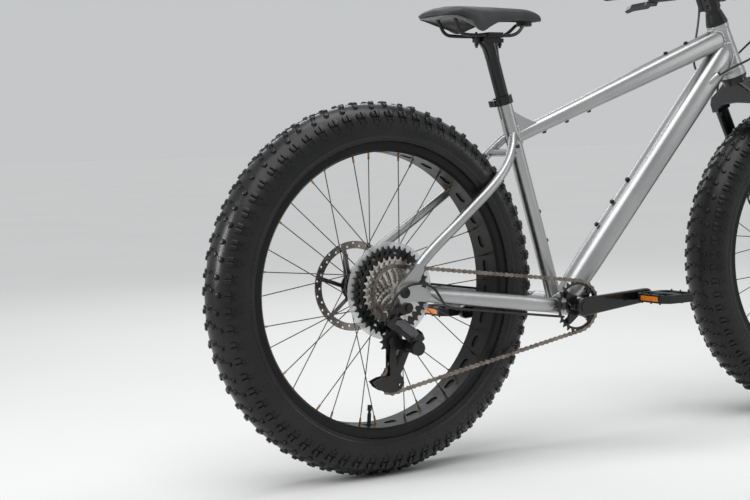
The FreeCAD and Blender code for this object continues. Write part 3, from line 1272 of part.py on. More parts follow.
def knuckle_ears(start, web):
    if web > start:
        ears = box(V(start - 5, -13, -EAR_OUTER), V(web, 13, EAR_OUTER))
        room = box(V(start - 8, -20, -LINK_HALF - FACE_GAP), V(start + 5.4, 20, LINK_HALF + FACE_GAP))
    else:
        ears = box(V(web, -13, -EAR_OUTER), V(start + 5, 13, EAR_OUTER))
        room = box(V(start - 5.4, -20, -LINK_HALF - FACE_GAP), V(start + 8, 20, LINK_HALF + FACE_GAP))
    ears = rounded(ears, 3.5, lambda edge: abs(edge.tangentAt(edge.FirstParameter).z) > 0.9)
    holes = []
    for across in (-LINK_SPACING / 2, LINK_SPACING / 2):
        holes.append(rod(V(start, across, -20), V(start, across, 20), PIN_RADIUS + RUNNING_GAP))
    return ears.cut([room] + holes), [room] + holes


NODES["derailleur_outer_link"] = [on_links(parallel_link(-LINK_SPACING / 2))]
NODES["derailleur_inner_link"] = [on_links(parallel_link(LINK_SPACING / 2))]
base_ears, base_room = knuckle_ears(0, -14)
base_back = BASE_PIN - LINK_ALONG * 10
base_arm = capsule(
    hanger_point, 10, base_back + V(-1, 0, 8), 7, -DROPOUT_OUTER - 6, -DROPOUT_OUTER - FACE_GAP)
base_bolt = fused([
    rod_y(hanger_point, -DROPOUT_OUTER - 1, -REAR_HUB_HALF, 5.0),
    rod_y(hanger_point, -DROPOUT_OUTER - 9, -DROPOUT_OUTER - 6, 7)])
base = fused([on_links(base_ears), base_arm, base_bolt]).cut([on_links(shape) for shape in base_room])
NODES["derailleur_base"] = [max(base.Solids, key=lambda solid: solid.Volume)]
knuckle, knuckle_room = knuckle_ears(LINK_LENGTH, LINK_LENGTH + 13)
CAGE_OUTER = CHAIN_Y - 8.5
CAGE_INNER = CHAIN_Y + 8.5
housing = fused([
    on_links(knuckle), rod_y(CAGE_PIVOT, -107, CAGE_OUTER - 2.5, 11.5), rod_y(CAGE_PIVOT, -117, -107, 14)])
housing = housing.cut([on_links(shape) for shape in knuckle_room])
housing = housing.cut(rod_y(CAGE_PIVOT, -101, -60, 5.0 + RUNNING_GAP))
NODES["derailleur_knuckle"] = [max(housing.Solids, key=lambda solid: solid.Volume)]
CAGE_FOOT = [
    (-46, 5), (-30, 11), (10, 16), (22, 8), (24, -4), (18, -14), (6, -19), (-10, -19), (-26, -14), (-38, -6)]


def cage_plate(low, high):
    arms = [
        capsule(CAGE_PIVOT, 12, GUIDE, 9, low, high), capsule(GUIDE, 6, TENSION, 8, low, high),
        capsule(CAGE_PIVOT, 7, TENSION, 8, low, high)]
    foot = slab([(TENSION.x + x, TENSION.z + z) for x, z in CAGE_FOOT], low, high)
    slot = capsule(TENSION + V(14, 0, -3), 2.2, TENSION + V(11, 0, -9), 2.2, low - 1, high + 1)
    return fused(arms + [foot]).cut(slot)


cage = fused([
    cage_plate(CAGE_OUTER, CAGE_OUTER + 2), cage_plate(CAGE_INNER - 2, CAGE_INNER),
    rod_y(GUIDE, CAGE_OUTER, CAGE_INNER, 4), rod_y(TENSION, CAGE_OUTER, CAGE_INNER, 4),
    rod_y(CAGE_PIVOT, -100, CAGE_OUTER, 5.0), rod_y(CAGE_PIVOT, CAGE_OUTER - 2.5 + FACE_GAP, CAGE_OUTER, 9)])
NODES["derailleur_cage"] = [cage]
for name, centre in (("guide_pulley", GUIDE), ("tension_pulley", TENSION)):
    wheel = sprocket(PULLEY_TEETH, phase_at(centre), CHAIN_Y - 1, CHAIN_Y + 1, 4 + RUNNING_GAP)
    boss = pipe_y(V(0, 0, 0), CAGE_OUTER + 2 + FACE_GAP, CAGE_INNER - 2 - FACE_GAP, 7.5, 4 + RUNNING_GAP)
    NODES[name] = [moved(fused([wheel, boss]), centre)]

# Hoses and shift housing, from the controls into the down tube and out along the stays


def control_point(a, b, c, side):
    point = CONTROL_ORIGIN + BAR_OUT * a + LEVER_REACH * b + LEVER_NORMAL * c
    return V(point.x, point.y * side, point.z)


left_port = DOWN_END - DOWN_ALONG * 78 + DOWN_UP * 2
rear_lead = hose([
    control_point(-70, 36, 0, 1), control_point(-128, 36, 0, 1), V(352, 96, 930), V(296, 44, 812),
    left_port + Y * 27, left_port - DOWN_ALONG * 30 + Y * 20], HOSE_RADIUS)
rear_run = hose([
    V(-186, 50, 320), V(-245, 68, 329), V(-325, 73, 341.5), V(-405, 78, 353.5), V(-470, 88, 363.5),
    V(-498, 92, 366), V(-514, 92, 377)], HOSE_RADIUS)
shift_lead = hose([
    control_point(-66.4, 14, 25, -1), control_point(-112, 16, 25, -1), V(420, -110, 900), V(398, -66, 826),
    left_port - Y * 27, left_port - DOWN_ALONG * 30 - Y * 20], HOSE_RADIUS)
shift_run = hose([
    V(-178, -56, 279), V(-245, -70, 289), V(-405, -80, 313), V(-500, -96, 327),
    V(-520, -113, 345), V(-545, -117, 378), V(-600, -118, 384), V(-640, -116, 350),
    base_back + V(-8, -2, 2)], HOSE_RADIUS)
front_run = hose([
    control_point(-70, 36, 0, -1), control_point(-130, 36, 0, -1), V(452, -40, 900),
    steer_point(40, 74, 452), steer_point(14, 90, 395), steer_point(12, 90.3, 320),
    steer_point(24, 92.9, 150), steer_point(9, 88, 126), V(514, 74, 466), V(531, 68, 433)], HOSE_RADIUS)
NODES["rear_brake_hose"] = [rear_lead.cut(down_solid), rear_run.cut(NODES["rear_caliper"][0])]
NODES["shift_housing"] = [shift_lead.cut(down_solid), shift_run.cut(NODES["derailleur_base"])]
NODES["front_brake_hose"] = [front_run]

os.makedirs("parts", exist_ok=True)
for name, shapes in NODES.items():
    solids = [solid for shape in shapes for solid in shape.Solids]
    shape = solids[0] if len(solids) == 1 else Part.makeCompound(solids)
    shape.exportStep("parts/" + name + ".step")
print(len(NODES), "nodes; chain links", LINK_COUNT, "cage angle", round(CAGE_ANGLE, 6))
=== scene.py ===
import math
import random

import bmesh
import bpy
from mathutils import Matrix, Vector
from mathutils.bvhtree import BVHTree


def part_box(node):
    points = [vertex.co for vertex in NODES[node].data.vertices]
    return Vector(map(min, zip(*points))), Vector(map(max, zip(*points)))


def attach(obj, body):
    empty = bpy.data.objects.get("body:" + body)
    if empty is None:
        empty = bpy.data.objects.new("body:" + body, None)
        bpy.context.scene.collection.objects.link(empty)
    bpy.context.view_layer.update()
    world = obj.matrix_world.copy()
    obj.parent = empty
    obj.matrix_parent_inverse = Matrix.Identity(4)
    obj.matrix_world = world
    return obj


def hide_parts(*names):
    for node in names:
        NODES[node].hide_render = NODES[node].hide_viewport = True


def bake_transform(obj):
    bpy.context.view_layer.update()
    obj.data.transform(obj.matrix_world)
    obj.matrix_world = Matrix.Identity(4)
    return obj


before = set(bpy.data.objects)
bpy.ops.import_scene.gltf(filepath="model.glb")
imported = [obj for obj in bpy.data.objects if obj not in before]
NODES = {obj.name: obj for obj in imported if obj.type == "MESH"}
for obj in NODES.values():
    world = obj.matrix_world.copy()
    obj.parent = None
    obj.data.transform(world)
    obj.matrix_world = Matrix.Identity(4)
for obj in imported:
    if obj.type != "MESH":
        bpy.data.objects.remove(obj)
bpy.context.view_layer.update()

Y_AXIS = Vector((0, 1, 0))


def centre_of(node):
    low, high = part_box(node)
    return (low + high) / 2


def mm(x, y, z):
    return Vector((x, y, z)) / 1000


REAR = centre_of("rear_tyre")
FRONT = centre_of("front_tyre")
BRACKET = centre_of("bottom_bracket_shell")

# Lines of the frame and handlebar, as in the part's source

SEAT_UP = Vector((-0.28569, 0, 0.95832))
STEER_BASE = mm(544.6, 0, 365)
STEER_UP = Vector((-0.39073, 0, 0.92050))
STEER_FORWARD = Vector((0.92050, 0, 0.39073))
BAR_TIP = mm(315.41, 380, 995.59)
BAR_OUT = Vector((-0.14781, 0.98902, 0))
GRIP_LENGTH = 0.132
LEVER_REACH = Vector((0.81016, 0.12108, -0.57358))
LEVER_NORMAL = Vector((-0.56728, -0.08478, -0.81915))
CONTROL_ORIGIN = mm(335.07, 248.46, 995.59)


def steer_point(forward_mm, side_mm, height_mm):
    return STEER_BASE + (STEER_FORWARD * forward_mm + Y_AXIS * side_mm + STEER_UP * height_mm) / 1000


def sided(point, side):
    return Vector((point.x, point.y * side, point.z))


def control_point(out, reach, down, side):
    return sided(CONTROL_ORIGIN + (BAR_OUT * out + LEVER_REACH * reach + LEVER_NORMAL * down) / 1000, side)


DOWN_START = mm(-138.97, 0, 301)
DOWN_END = steer_point(0, 0, 512)
DOWN_ALONG = (DOWN_END - DOWN_START).normalized()
TOP_START = BRACKET + SEAT_UP * 0.364
TOP_END = steer_point(0, 0, 543)
TOP_ALONG = (TOP_END - TOP_START).normalized()
PORT = mm(290.79, 0, 779.76)
DROPOUT_OUTER = 0.1065

# Camera at the photograph's place

CAMERA_AT = Vector((-2.0971, -2.4376, 0.6567))
CAMERA_YAW = math.radians(-31.58)
CAMERA_PITCH = math.radians(4.3154)
CAMERA_ROLL = math.radians(-1.4772)
FOCAL_PIXELS = 1473.33
IMAGE_WIDTH = 750.0

forward = Vector((
    -math.sin(CAMERA_YAW) * math.cos(CAMERA_PITCH),
    math.cos(CAMERA_YAW) * math.cos(CAMERA_PITCH), -math.sin(CAMERA_PITCH)))
level = Vector((math.cos(CAMERA_YAW), math.sin(CAMERA_YAW), 0))
above = level.cross(forward)
right = level * math.cos(CAMERA_ROLL) + above * math.sin(CAMERA_ROLL)
up = above * math.cos(CAMERA_ROLL) - level * math.sin(CAMERA_ROLL)
camera_data = bpy.data.cameras.new("camera")
camera_data.sensor_width = 36.0
camera_data.lens = FOCAL_PIXELS / IMAGE_WIDTH * camera_data.sensor_width
camera = bpy.data.objects.new("camera", camera_data)
camera.matrix_world = Matrix((
    (right.x, up.x, -forward.x, CAMERA_AT.x), (right.y, up.y, -forward.y, CAMERA_AT.y),
    (right.z, up.z, -forward.z, CAMERA_AT.z), (0, 0, 0, 1)))
bpy.context.scene.collection.objects.link(camera)
bpy.context.scene.camera = camera

# Materials


class Nodes:
    """A material's node tree with short ways to add and join nodes."""

    def __init__(self, name):
        self.material = bpy.data.materials.new(name)
        self.material.use_nodes = True
        self.tree = self.material.node_tree
        self.shader = self.tree.nodes["Principled BSDF"]
        self.coordinates = self.add("ShaderNodeTexCoord").outputs["Object"]

    def add(self, kind, **settings):
        node = self.tree.nodes.new(kind)
        for key, value in settings.items():
            setattr(node, key, value)
        return node

    def join(self, output, socket):
        self.tree.links.new(output, socket)

    def put(self, **values):
        for key, value in values.items():
            self.shader.inputs[key.replace("_", " ")].default_value = value

    def noise(self, scale, detail=3.0, stretch=None, source=None):
        source = source or self.coordinates
        if stretch:
            mapping = self.add("ShaderNodeMapping")
            mapping.inputs["Scale"].default_value = stretch
            self.join(source, mapping.inputs["Vector"])
            source = mapping.outputs["Vector"]
        node = self.add("ShaderNodeTexNoise")
        node.inputs["Scale"].default_value = scale
        node.inputs["Detail"].default_value = detail
        self.join(source, node.inputs["Vector"])
        return node.outputs["Fac"]

    def cells(self, scale, feature="F1"):
        node = self.add("ShaderNodeTexVoronoi", feature=feature)
        node.inputs["Scale"].default_value = scale
        self.join(self.coordinates, node.inputs["Vector"])
        return node.outputs["Distance"]

    def rings(self, centre, scale):
        """A value that changes only with the distance from the axle line through centre."""
        shift = self.add("ShaderNodeVectorMath", operation="SUBTRACT")
        self.join(self.coordinates, shift.inputs[0])
        shift.inputs[1].default_value = centre
        flat = self.add("ShaderNodeVectorMath", operation="MULTIPLY")
        self.join(shift.outputs[0], flat.inputs[0])
        flat.inputs[1].default_value = (1, 0, 1)
        length = self.add("ShaderNodeVectorMath", operation="LENGTH")
        self.join(flat.outputs[0], length.inputs[0])
        node = self.add("ShaderNodeTexNoise", noise_dimensions="1D")
        node.inputs["Scale"].default_value = scale
        self.join(length.outputs["Value"], node.inputs["W"])
        return node.outputs["Fac"]

    def ramp(self, value, *stops):
        node = self.add("ShaderNodeValToRGB")
        elements = node.color_ramp.elements
        while len(elements) < len(stops):
            elements.new(0.5)
        for element, (place, colour) in zip(elements, stops):
            element.position = place
            element.color = (*colour, 1)
        self.join(value, node.inputs["Fac"])
        return node.outputs["Color"]

    def span(self, value, low, high):
        node = self.add("ShaderNodeMapRange")
        node.inputs["From Min"].default_value = 0.25
        node.inputs["From Max"].default_value = 0.75
        node.inputs["To Min"].default_value = low
        node.inputs["To Max"].default_value = high
        self.join(value, node.inputs["Value"])
        return node.outputs["Result"]

    def bump(self, height, strength, distance):
        node = self.add("ShaderNodeBump")
        node.inputs["Strength"].default_value = strength
        node.inputs["Distance"].default_value = distance
        self.join(height, node.inputs["Height"])
        if self.shader.inputs["Normal"].is_linked:
            self.join(self.shader.inputs["Normal"].links[0].from_socket, node.inputs["Normal"])
        self.join(node.outputs["Normal"], self.shader.inputs["Normal"])

    def colour(self, socket):
        self.join(socket, self.shader.inputs["Base Color"])

    def rough(self, socket):
        self.join(socket, self.shader.inputs["Roughness"])


def shades(base, spread):
    return [tuple(min(channel * factor, 1.0) for channel in base) for factor in (1 - spread, 1, 1 + spread)]


def finish_of(name, base, low, high, metallic=0.0, spread=0.12, patch=9.0, grain=900.0, bump=0.1, **values):
    """A material with patches of tone, uneven gloss and a fine surface grain."""
    nodes = Nodes(name)
    nodes.put(Metallic=metallic, **values)
    dark, middle, light = shades(base, spread)
    nodes.colour(nodes.ramp(nodes.noise(patch, 4.0), (0.3, dark), (0.5, middle), (0.7, light)))
    nodes.rough(nodes.span(nodes.noise(patch * 7), low, high))
    nodes.bump(nodes.noise(grain, 2.0), bump, 0.0004)
    return nodes


def aluminium():
    nodes = Nodes("satin_aluminium")
    nodes.put(Metallic=1.0)
    tone = nodes.noise(7.0, 5.0)
    nodes.colour(nodes.ramp(
        tone, (0.3, (0.36, 0.36, 0.362)), (0.5, (0.40, 0.40, 0.40)), (0.7, (0.44, 0.44, 0.437))))
    nodes.rough(nodes.span(nodes.noise(60.0, 6.0), 0.30, 0.37))
    nodes.bump(nodes.noise(2600.0, 2.0), 0.03, 0.0001)
    return nodes.material


def tyre_rubber():
    nodes = Nodes("tyre_rubber")
    nodes.put(Specular_IOR_Level=0.32)
    tone = nodes.noise(16.0, 6.0)
    nodes.colour(nodes.ramp(
        tone, (0.28, (0.006, 0.006, 0.0063)), (0.5, (0.009, 0.009, 0.0093)), (0.72, (0.014, 0.0137, 0.0137))))
    nodes.rough(nodes.span(nodes.noise(130.0, 5.0), 0.22, 0.36))
    nodes.bump(nodes.noise(1400.0, 3.0), 0.08, 0.0006)
    nodes.bump(nodes.noise(95.0, 3.0), 0.06, 0.0012)
    return nodes.material


def saddle_cover():
    nodes = Nodes("saddle_cover")
    nodes.put(Specular_IOR_Level=0.35, Sheen_Weight=0.05, Sheen_Roughness=0.5)
    tone = nodes.noise(22.0, 4.0)
    nodes.colour(nodes.ramp(
        tone, (0.3, (0.027, 0.027, 0.0275)), (0.5, (0.034, 0.034, 0.0345)), (0.7, (0.042, 0.042, 0.042))))
    nodes.rough(nodes.span(nodes.noise(240.0, 4.0), 0.46, 0.6))
    nodes.bump(nodes.cells(900.0), 0.22, 0.0003)
    nodes.bump(nodes.noise(300.0, 4.0), 0.10, 0.0004)
    return nodes.material


def ringed_steel(name, centre, base, low, high, scale, **values):
    nodes = Nodes(name)
    nodes.put(Metallic=1.0, **values)
    dark, middle, light = shades(base, 0.2)
    nodes.colour(nodes.ramp(nodes.noise(45.0, 5.0), (0.3, dark), (0.5, middle), (0.7, light)))
    line = nodes.rings(centre, scale)
    nodes.rough(nodes.span(line, low, high))
    nodes.bump(line, 0.12, 0.0003)
    return nodes.material


def clear_plastic():
    nodes = Nodes("clear_plastic")
    nodes.put(Roughness=0.10, Transmission_Weight=0.66, IOR=1.46)
    cloud = nodes.noise(60.0, 4.0)
    nodes.colour(nodes.ramp(
        cloud, (0.3, (0.80, 0.81, 0.82)), (0.5, (0.86, 0.87, 0.88)), (0.7, (0.91, 0.91, 0.92))))
    nodes.bump(nodes.noise(120.0, 2.0), 0.04, 0.0003)
    return nodes.material


def amber():
    nodes = Nodes("amber_reflector")
    nodes.put(Roughness=0.18, Coat_Weight=0.6, Coat_Roughness=0.08)
    grid = nodes.cells(420.0)
    nodes.colour(nodes.ramp(
        grid, (0.1, (0.95, 0.34, 0.03)), (0.5, (0.86, 0.24, 0.015)), (0.9, (0.62, 0.13, 0.01))))
    nodes.bump(grid, 0.6, 0.0008)
    return nodes.material


ALUMINIUM = aluminium()
TYRE = tyre_rubber()
COVER = saddle_cover()
BLACK_ALLOY = finish_of(
    "black_alloy", (0.009, 0.009, 0.0095), 0.26, 0.38, spread=0.25, grain=1800.0, bump=0.05,
    Specular_IOR_Level=0.36).material
GLOSS_BLACK = finish_of(
    "gloss_black", (0.006, 0.006, 0.0065), 0.14, 0.22, spread=0.2, grain=350.0, bump=0.02,
    Specular_IOR_Level=0.3, Coat_Weight=0.3, Coat_Roughness=0.06).material
RIM_BLACK = finish_of(
    "rim_black", (0.008, 0.008, 0.0085), 0.30, 0.42, spread=0.2, grain=1500.0, bump=0.05,
    Specular_IOR_Level=0.2).material
RIM_STRIP = finish_of(
    "rim_strip", (0.005, 0.005, 0.005), 0.4, 0.55, spread=0.3, grain=700.0, bump=0.2,
    Specular_IOR_Level=0.2).material
BLACK_STEEL = finish_of(
    "black_steel", (0.040, 0.039, 0.038), 0.24, 0.38, metallic=0.85, spread=0.3, grain=1600.0,
    bump=0.05).material
BLACK_PLASTIC = finish_of(
    "black_plastic", (0.012, 0.012, 0.0125), 0.40, 0.56, spread=0.2, grain=1100.0, bump=0.14,
    Specular_IOR_Level=0.34).material
SOFT_RUBBER = finish_of(
    "soft_rubber", (0.012, 0.012, 0.012), 0.6, 0.78, spread=0.25, grain=1300.0, bump=0.2,
    Specular_IOR_Level=0.3).material
HOSE_BLACK = finish_of(
    "hose_plastic", (0.010, 0.010, 0.0105), 0.26, 0.38, spread=0.2, grain=500.0, bump=0.04,
    Specular_IOR_Level=0.4).material
SPOKE_STEEL = finish_of(
    "spoke_steel", (0.085, 0.083, 0.080), 0.2, 0.32, metallic=0.9, spread=0.3, patch=40.0,
    grain=1500.0).material
CHAIN_STEEL = finish_of(
    "chain_steel", (0.215, 0.187, 0.165), 0.26, 0.40, metallic=1.0, spread=0.35, patch=60.0,
    grain=1200.0).material
BRASS = finish_of(
    "brass_nipple", (0.36, 0.23, 0.12), 0.24, 0.36, metallic=1.0, spread=0.15, patch=120.0).material
SHELL_GREY = finish_of(
    "shell_grey", (0.13, 0.13, 0.13), 0.36, 0.50, spread=0.15, patch=40.0, grain=900.0, bump=0.16).material
FACET_GREY = finish_of(
    "facet_grey", (0.11, 0.11, 0.115), 0.22, 0.32, metallic=0.8, spread=0.15, grain=1500.0).material
KNUCKLE_GREY = finish_of(
    "knuckle_grey", (0.030, 0.030, 0.032), 0.20, 0.30, metallic=0.6, spread=0.2, grain=1500.0,
    bump=0.05).material
CLEAR = clear_plastic()
AMBER = amber()
REAR_ROTOR = ringed_steel("rear_rotor_steel", REAR, (0.30, 0.275, 0.25), 0.24, 0.38, 2600.0)
FRONT_ROTOR = ringed_steel("front_rotor_steel", FRONT, (0.30, 0.275, 0.25), 0.24, 0.38, 2600.0)
COG_STEEL = ringed_steel("cog_steel", REAR, (0.56, 0.54, 0.51), 0.18, 0.34, 1800.0)

NODE_MATERIALS = {
    ALUMINIUM: [
        "head_tube", "top_tube", "down_tube", "seat_tube", "bottom_bracket_shell", "rear_stays", "dropouts"],
    BLACK_ALLOY: [
        "seat_collar", "bearing_cups", "seat_post", "saddle_clamp", "headset_spacers", "stem", "handlebar",
        "control_bodies", "brake_lever_left", "brake_lever_right", "front_hub", "rear_hub", "rear_caliper",
        "front_caliper", "front_axle", "rear_axle", "derailleur_inner_link"],
    GLOSS_BLACK: ["fork", "crank_arm_right", "crank_arm_left"],
    KNUCKLE_GREY: ["derailleur_base", "derailleur_outer_link", "derailleur_knuckle"],
    BLACK_STEEL: ["bottle_bolts", "saddle_rails", "pedal_axles", "chainring", "derailleur_cage"],
    SPOKE_STEEL: ["front_spokes", "rear_spokes"],
    RIM_BLACK: ["front_rim", "rear_rim"],
    BLACK_PLASTIC: [
        "pedal_right", "pedal_left", "shift_lever", "release_lever", "guide_pulley", "tension_pulley",
        "front_inner_tube", "rear_inner_tube"],
    SHELL_GREY: ["saddle_shell"],
    CHAIN_STEEL: ["chain"],
    COG_STEEL: ["cassette"],
    CLEAR: ["spoke_protector"],
    REAR_ROTOR: ["rear_rotor"],
    FRONT_ROTOR: ["front_rotor"],
    TYRE: ["front_tyre", "rear_tyre"],
    COVER: ["saddle_cushion"],
    SOFT_RUBBER: ["grips"],
    HOSE_BLACK: ["rear_brake_hose", "front_brake_hose", "shift_housing"],
}
for material, names in NODE_MATERIALS.items():
    for name in names:
        NODES[name].data.materials.clear()
        NODES[name].data.materials.append(material)

# Second finishes, with the places where they begin

NIPPLE_FROM = 0.2570
RIM_STRIP_FROM = 0.2694
RIM_STRIP_HALF = 0.0305
BLACK_COGS_FROM = -0.0613
POST_HEAD_FROM = 0.812
REFLECTOR_FROM = 0.0428
REFLECTOR_HALF_HEIGHT = 0.0052
REFLECTOR_HALF_WIDTH = 0.0258


def paint(node, material, wanted):
    """Gives a second finish to the faces of a CAD node whose centres pass the test."""
    mesh = NODES[node].data
    mesh.materials.append(material)
    index = len(mesh.materials) - 1
    for polygon in mesh.polygons:
        if wanted(polygon.center):
            polygon.material_index = index


def from_axle(axle):
    return lambda point: math.hypot(point.x - axle.x, point.z - axle.z)


for end, axle in (("rear", REAR), ("front", FRONT)):
    distance = from_axle(axle)
    paint(end + "_spokes", BRASS, lambda point: distance(point) > NIPPLE_FROM)
    paint(end + "_rim", RIM_STRIP, lambda point: (
        distance(point) > RIM_STRIP_FROM and abs(point.y) < RIM_STRIP_HALF))
paint("cassette", BLACK_STEEL, lambda point: point.y > BLACK_COGS_FROM)
paint("seat_post", GLOSS_BLACK, lambda point: point.z > POST_HEAD_FROM)
for pedal in ("pedal_right", "pedal_left"):
    middle = centre_of(pedal)
    paint(pedal, AMBER, lambda point: (
        abs(point.x - middle.x) > REFLECTOR_FROM and abs(point.z - middle.z) < REFLECTOR_HALF_HEIGHT
        and abs(point.y - middle.y) < REFLECTOR_HALF_WIDTH))

# Mesh helpers


def add_object(name, mesh, material, body, smooth=40.0):
    mesh.update()
    for polygon in mesh.polygons:
        polygon.use_smooth = True
    mesh.set_sharp_from_angle(angle=math.radians(smooth))
    mesh.materials.append(material)
    made = bpy.data.objects.new(name, mesh)
    bpy.context.scene.collection.objects.link(made)
    if body:
        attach(made, body)
    return made


def grid_mesh(name, rows, close_rows=False, close_columns=True, cap=False):
    """A mesh through rows of points, each row joined to the next."""
    count = len(rows[0])
    points = [point for row in rows for point in row]
    faces = []
    for row in range(len(rows) if close_rows else len(rows) - 1):
        following = (row + 1) % len(rows)
        for column in range(count if close_columns else count - 1):
            beside = (column + 1) % count
            faces.append((
                row * count + column, row * count + beside,
                following * count + beside, following * count + column))
    if cap:
        faces.append(tuple(reversed(range(count))))
        faces.append(tuple((len(rows) - 1) * count + column for column in range(count)))
    mesh = bpy.data.meshes.new(name)
    mesh.from_pydata(points, [], faces)
    return mesh


def outward(mesh):
    """Turns every face of a closed mesh outward."""
    form = bmesh.new()
    form.from_mesh(mesh)
    bmesh.ops.recalc_face_normals(form, faces=form.faces)
    form.to_mesh(mesh)
    form.free()
    return mesh


def lathe(name, profile, origin, axis, segments=64):
    """A closed ring of the profile's (along, radius) points turned about the axis."""
    axis = axis.normalized()
    side = axis.orthogonal().normalized()
    across = axis.cross(side)
    rows = []
    for index in range(segments):
        angle = 2 * math.pi * index / segments
        outer = side * math.cos(angle) + across * math.sin(angle)
        rows.append([origin + axis * along + outer * radius for along, radius in profile])
    return outward(grid_mesh(name, rows, close_rows=True))


def swept(name, points, radii, sides=12, closed=False):
    """A tube through points with its own radius at each one."""
    count = len(points)
    rows = []
    normal = None
    for index, point in enumerate(points):
        before = points[index - 1] if closed or index else point
        after = points[(index + 1) % count] if closed or index < count - 1 else point
        along = (after - before).normalized()
        normal = along.orthogonal() if normal is None else normal - along * normal.dot(along)
        normal.normalize()
        side = along.cross(normal)
        row = []
        for step in range(sides):
            angle = 2 * math.pi * step / sides
            row.append(point + (normal * math.cos(angle) + side * math.sin(angle)) * radii[index])
        rows.append(row)
    return outward(grid_mesh(name, rows, close_rows=closed, cap=not closed))


# Hoses and shift housing: each line is a spline through the source's route points

HOSE_RADIUS = 0.0025


def spline_line(name, points):
    """Points along a smooth spline that has the route's points as its control points."""
    data = bpy.data.curves.new(name, "CURVE")
    data.dimensions = "3D"
    data.resolution_u = 20
    spline = data.splines.new("NURBS")
    spline.points.add(len(points) - 1)
    for control, point in zip(spline.points, points):
        control.co = (*point, 1)
    spline.order_u = 3
    spline.use_endpoint_u = True
    curve = bpy.data.objects.new(name, data)
    bpy.context.scene.collection.objects.link(curve)
    bpy.context.view_layer.update()
    line = [vertex.co.copy() for vertex in bpy.data.meshes.new_from_object(curve).vertices]
    bpy.data.objects.remove(curve)
    return line


def hose(name, node, points, body, other=None):
    line = spline_line(name + "_line", points)
    made = add_object(name, swept(name, line, [HOSE_RADIUS] * len(line), 14), HOSE_BLACK, None)
    if other:
        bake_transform(made)
    else:
        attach(made, body)
    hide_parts(node)


PORT_INSIDE = PORT - DOWN_ALONG * 0.030
rear_lead = [
    control_point(-70, 36, 0, 1), control_point(-128, 36, 0, 1), mm(358, 92, 930), mm(288, 48, 812),
    PORT + Y_AXIS * 0.027, PORT_INSIDE + Y_AXIS * 0.020]
rear_run = [
    mm(-186, 50, 320), mm(-245, 68, 329), mm(-325, 73, 341.5), mm(-405, 78, 353.5), mm(-470, 88, 363.5),
    mm(-498, 92, 366), mm(-514, 92, 377)]
shift_lead = [
    control_point(-66.4, 14, 25, -1), control_point(-112, 16, 25, -1), mm(420, -110, 900), mm(398, -66, 826),
    PORT - Y_AXIS * 0.027, PORT_INSIDE - Y_AXIS * 0.020]
shift_run = [
    mm(-178, -56, 279), mm(-245, -70, 289), mm(-405, -80, 313), mm(-500, -96, 327), mm(-520, -113, 345),
    mm(-545, -117, 378), mm(-600, -118, 384), mm(-640, -116, 350), mm(-640, -110, 320)]
front_run = [
    control_point(-70, 36, 0, -1), control_point(-130, 36, 0, -1), mm(452, -40, 900),
    steer_point(40, 74, 452), steer_point(14, 90, 395), steer_point(12, 90.3, 320),
    steer_point(24, 92.9, 150), steer_point(9, 88, 126), mm(514, 74, 466), mm(531, 68, 433)]
hose("rear_hose_lead", "rear_brake_hose", rear_lead, "frame", "steering")
hose("rear_hose_run", "rear_brake_hose", rear_run, "frame")
hose("shift_lead", "shift_housing", shift_lead, "frame", "steering")
hose("shift_run", "shift_housing", shift_run, "frame", "derailleur_base")
hose("front_hose", "front_brake_hose", front_run, "steering")

# Cable ports: an aluminium boss and a black grommet, with radii at shares of the way from the mouth inward

PORT_PIECES = (
    ("cable_port_", (-0.02, 0.02, 0.2, 0.5, 0.8), (0.0044, 0.0052, 0.0058, 0.0062, 0.0064), ALUMINIUM,
     "satin_aluminium"),
    ("port_grommet_", (-0.16, -0.12, 0.0, 0.1), (0.0031, 0.0036, 0.0040, 0.0040), BLACK_PLASTIC,
     "black_plastic"))
for side, name in ((1, "left"), (-1, "right")):
    mouth = PORT + Y_AXIS * 0.030 * side
    inside = PORT_INSIDE + Y_AXIS * 0.018 * side
    for piece, shares, radii, material, finish in PORT_PIECES:
        steps = [mouth.lerp(inside, share) for share in shares]
        made = add_object(piece + name, swept(piece + name, steps, radii, 24), material, "frame")

# Top and down tube with even walls, and the gusset in the corner of the seat tube and the top tube

TUBE_COLUMNS = 96
TUBE_ROWS = 60
TUBE_WALL = 2.0
END_STEP = 0.25
END_MOST = 80.0


def between(stations, place):
    """The stations' sizes at a distance along them, on a smooth curve through the stations."""
    last = len(stations) - 1
    index = max(i for i in range(last) if stations[i][0] <= place or i == 0)
    p1, p2 = stations[index], stations[index + 1]
    p0, p3 = stations[max(index - 1, 0)], stations[min(index + 2, last)]
    reach = p2[0] - p1[0]
    u = min(max((place - p1[0]) / reach, 0.0), 1.0)
    values = []
    for k in range(1, len(p1)):
        m1 = (p2[k] - p0[k]) / (p2[0] - p0[0]) * reach
        m2 = (p3[k] - p1[k]) / (p3[0] - p1[0]) * reach
        values.append(
            (2 * u ** 3 - 3 * u ** 2 + 1) * p1[k] + (u ** 3 - 2 * u ** 2 + u) * m1
            + (3 * u ** 2 - 2 * u ** 3) * p2[k] + (u ** 3 - u ** 2) * m2)
    return values


def from_line(point, origin, direction):
    away = point - origin
    return (away - direction * away.dot(direction)).length


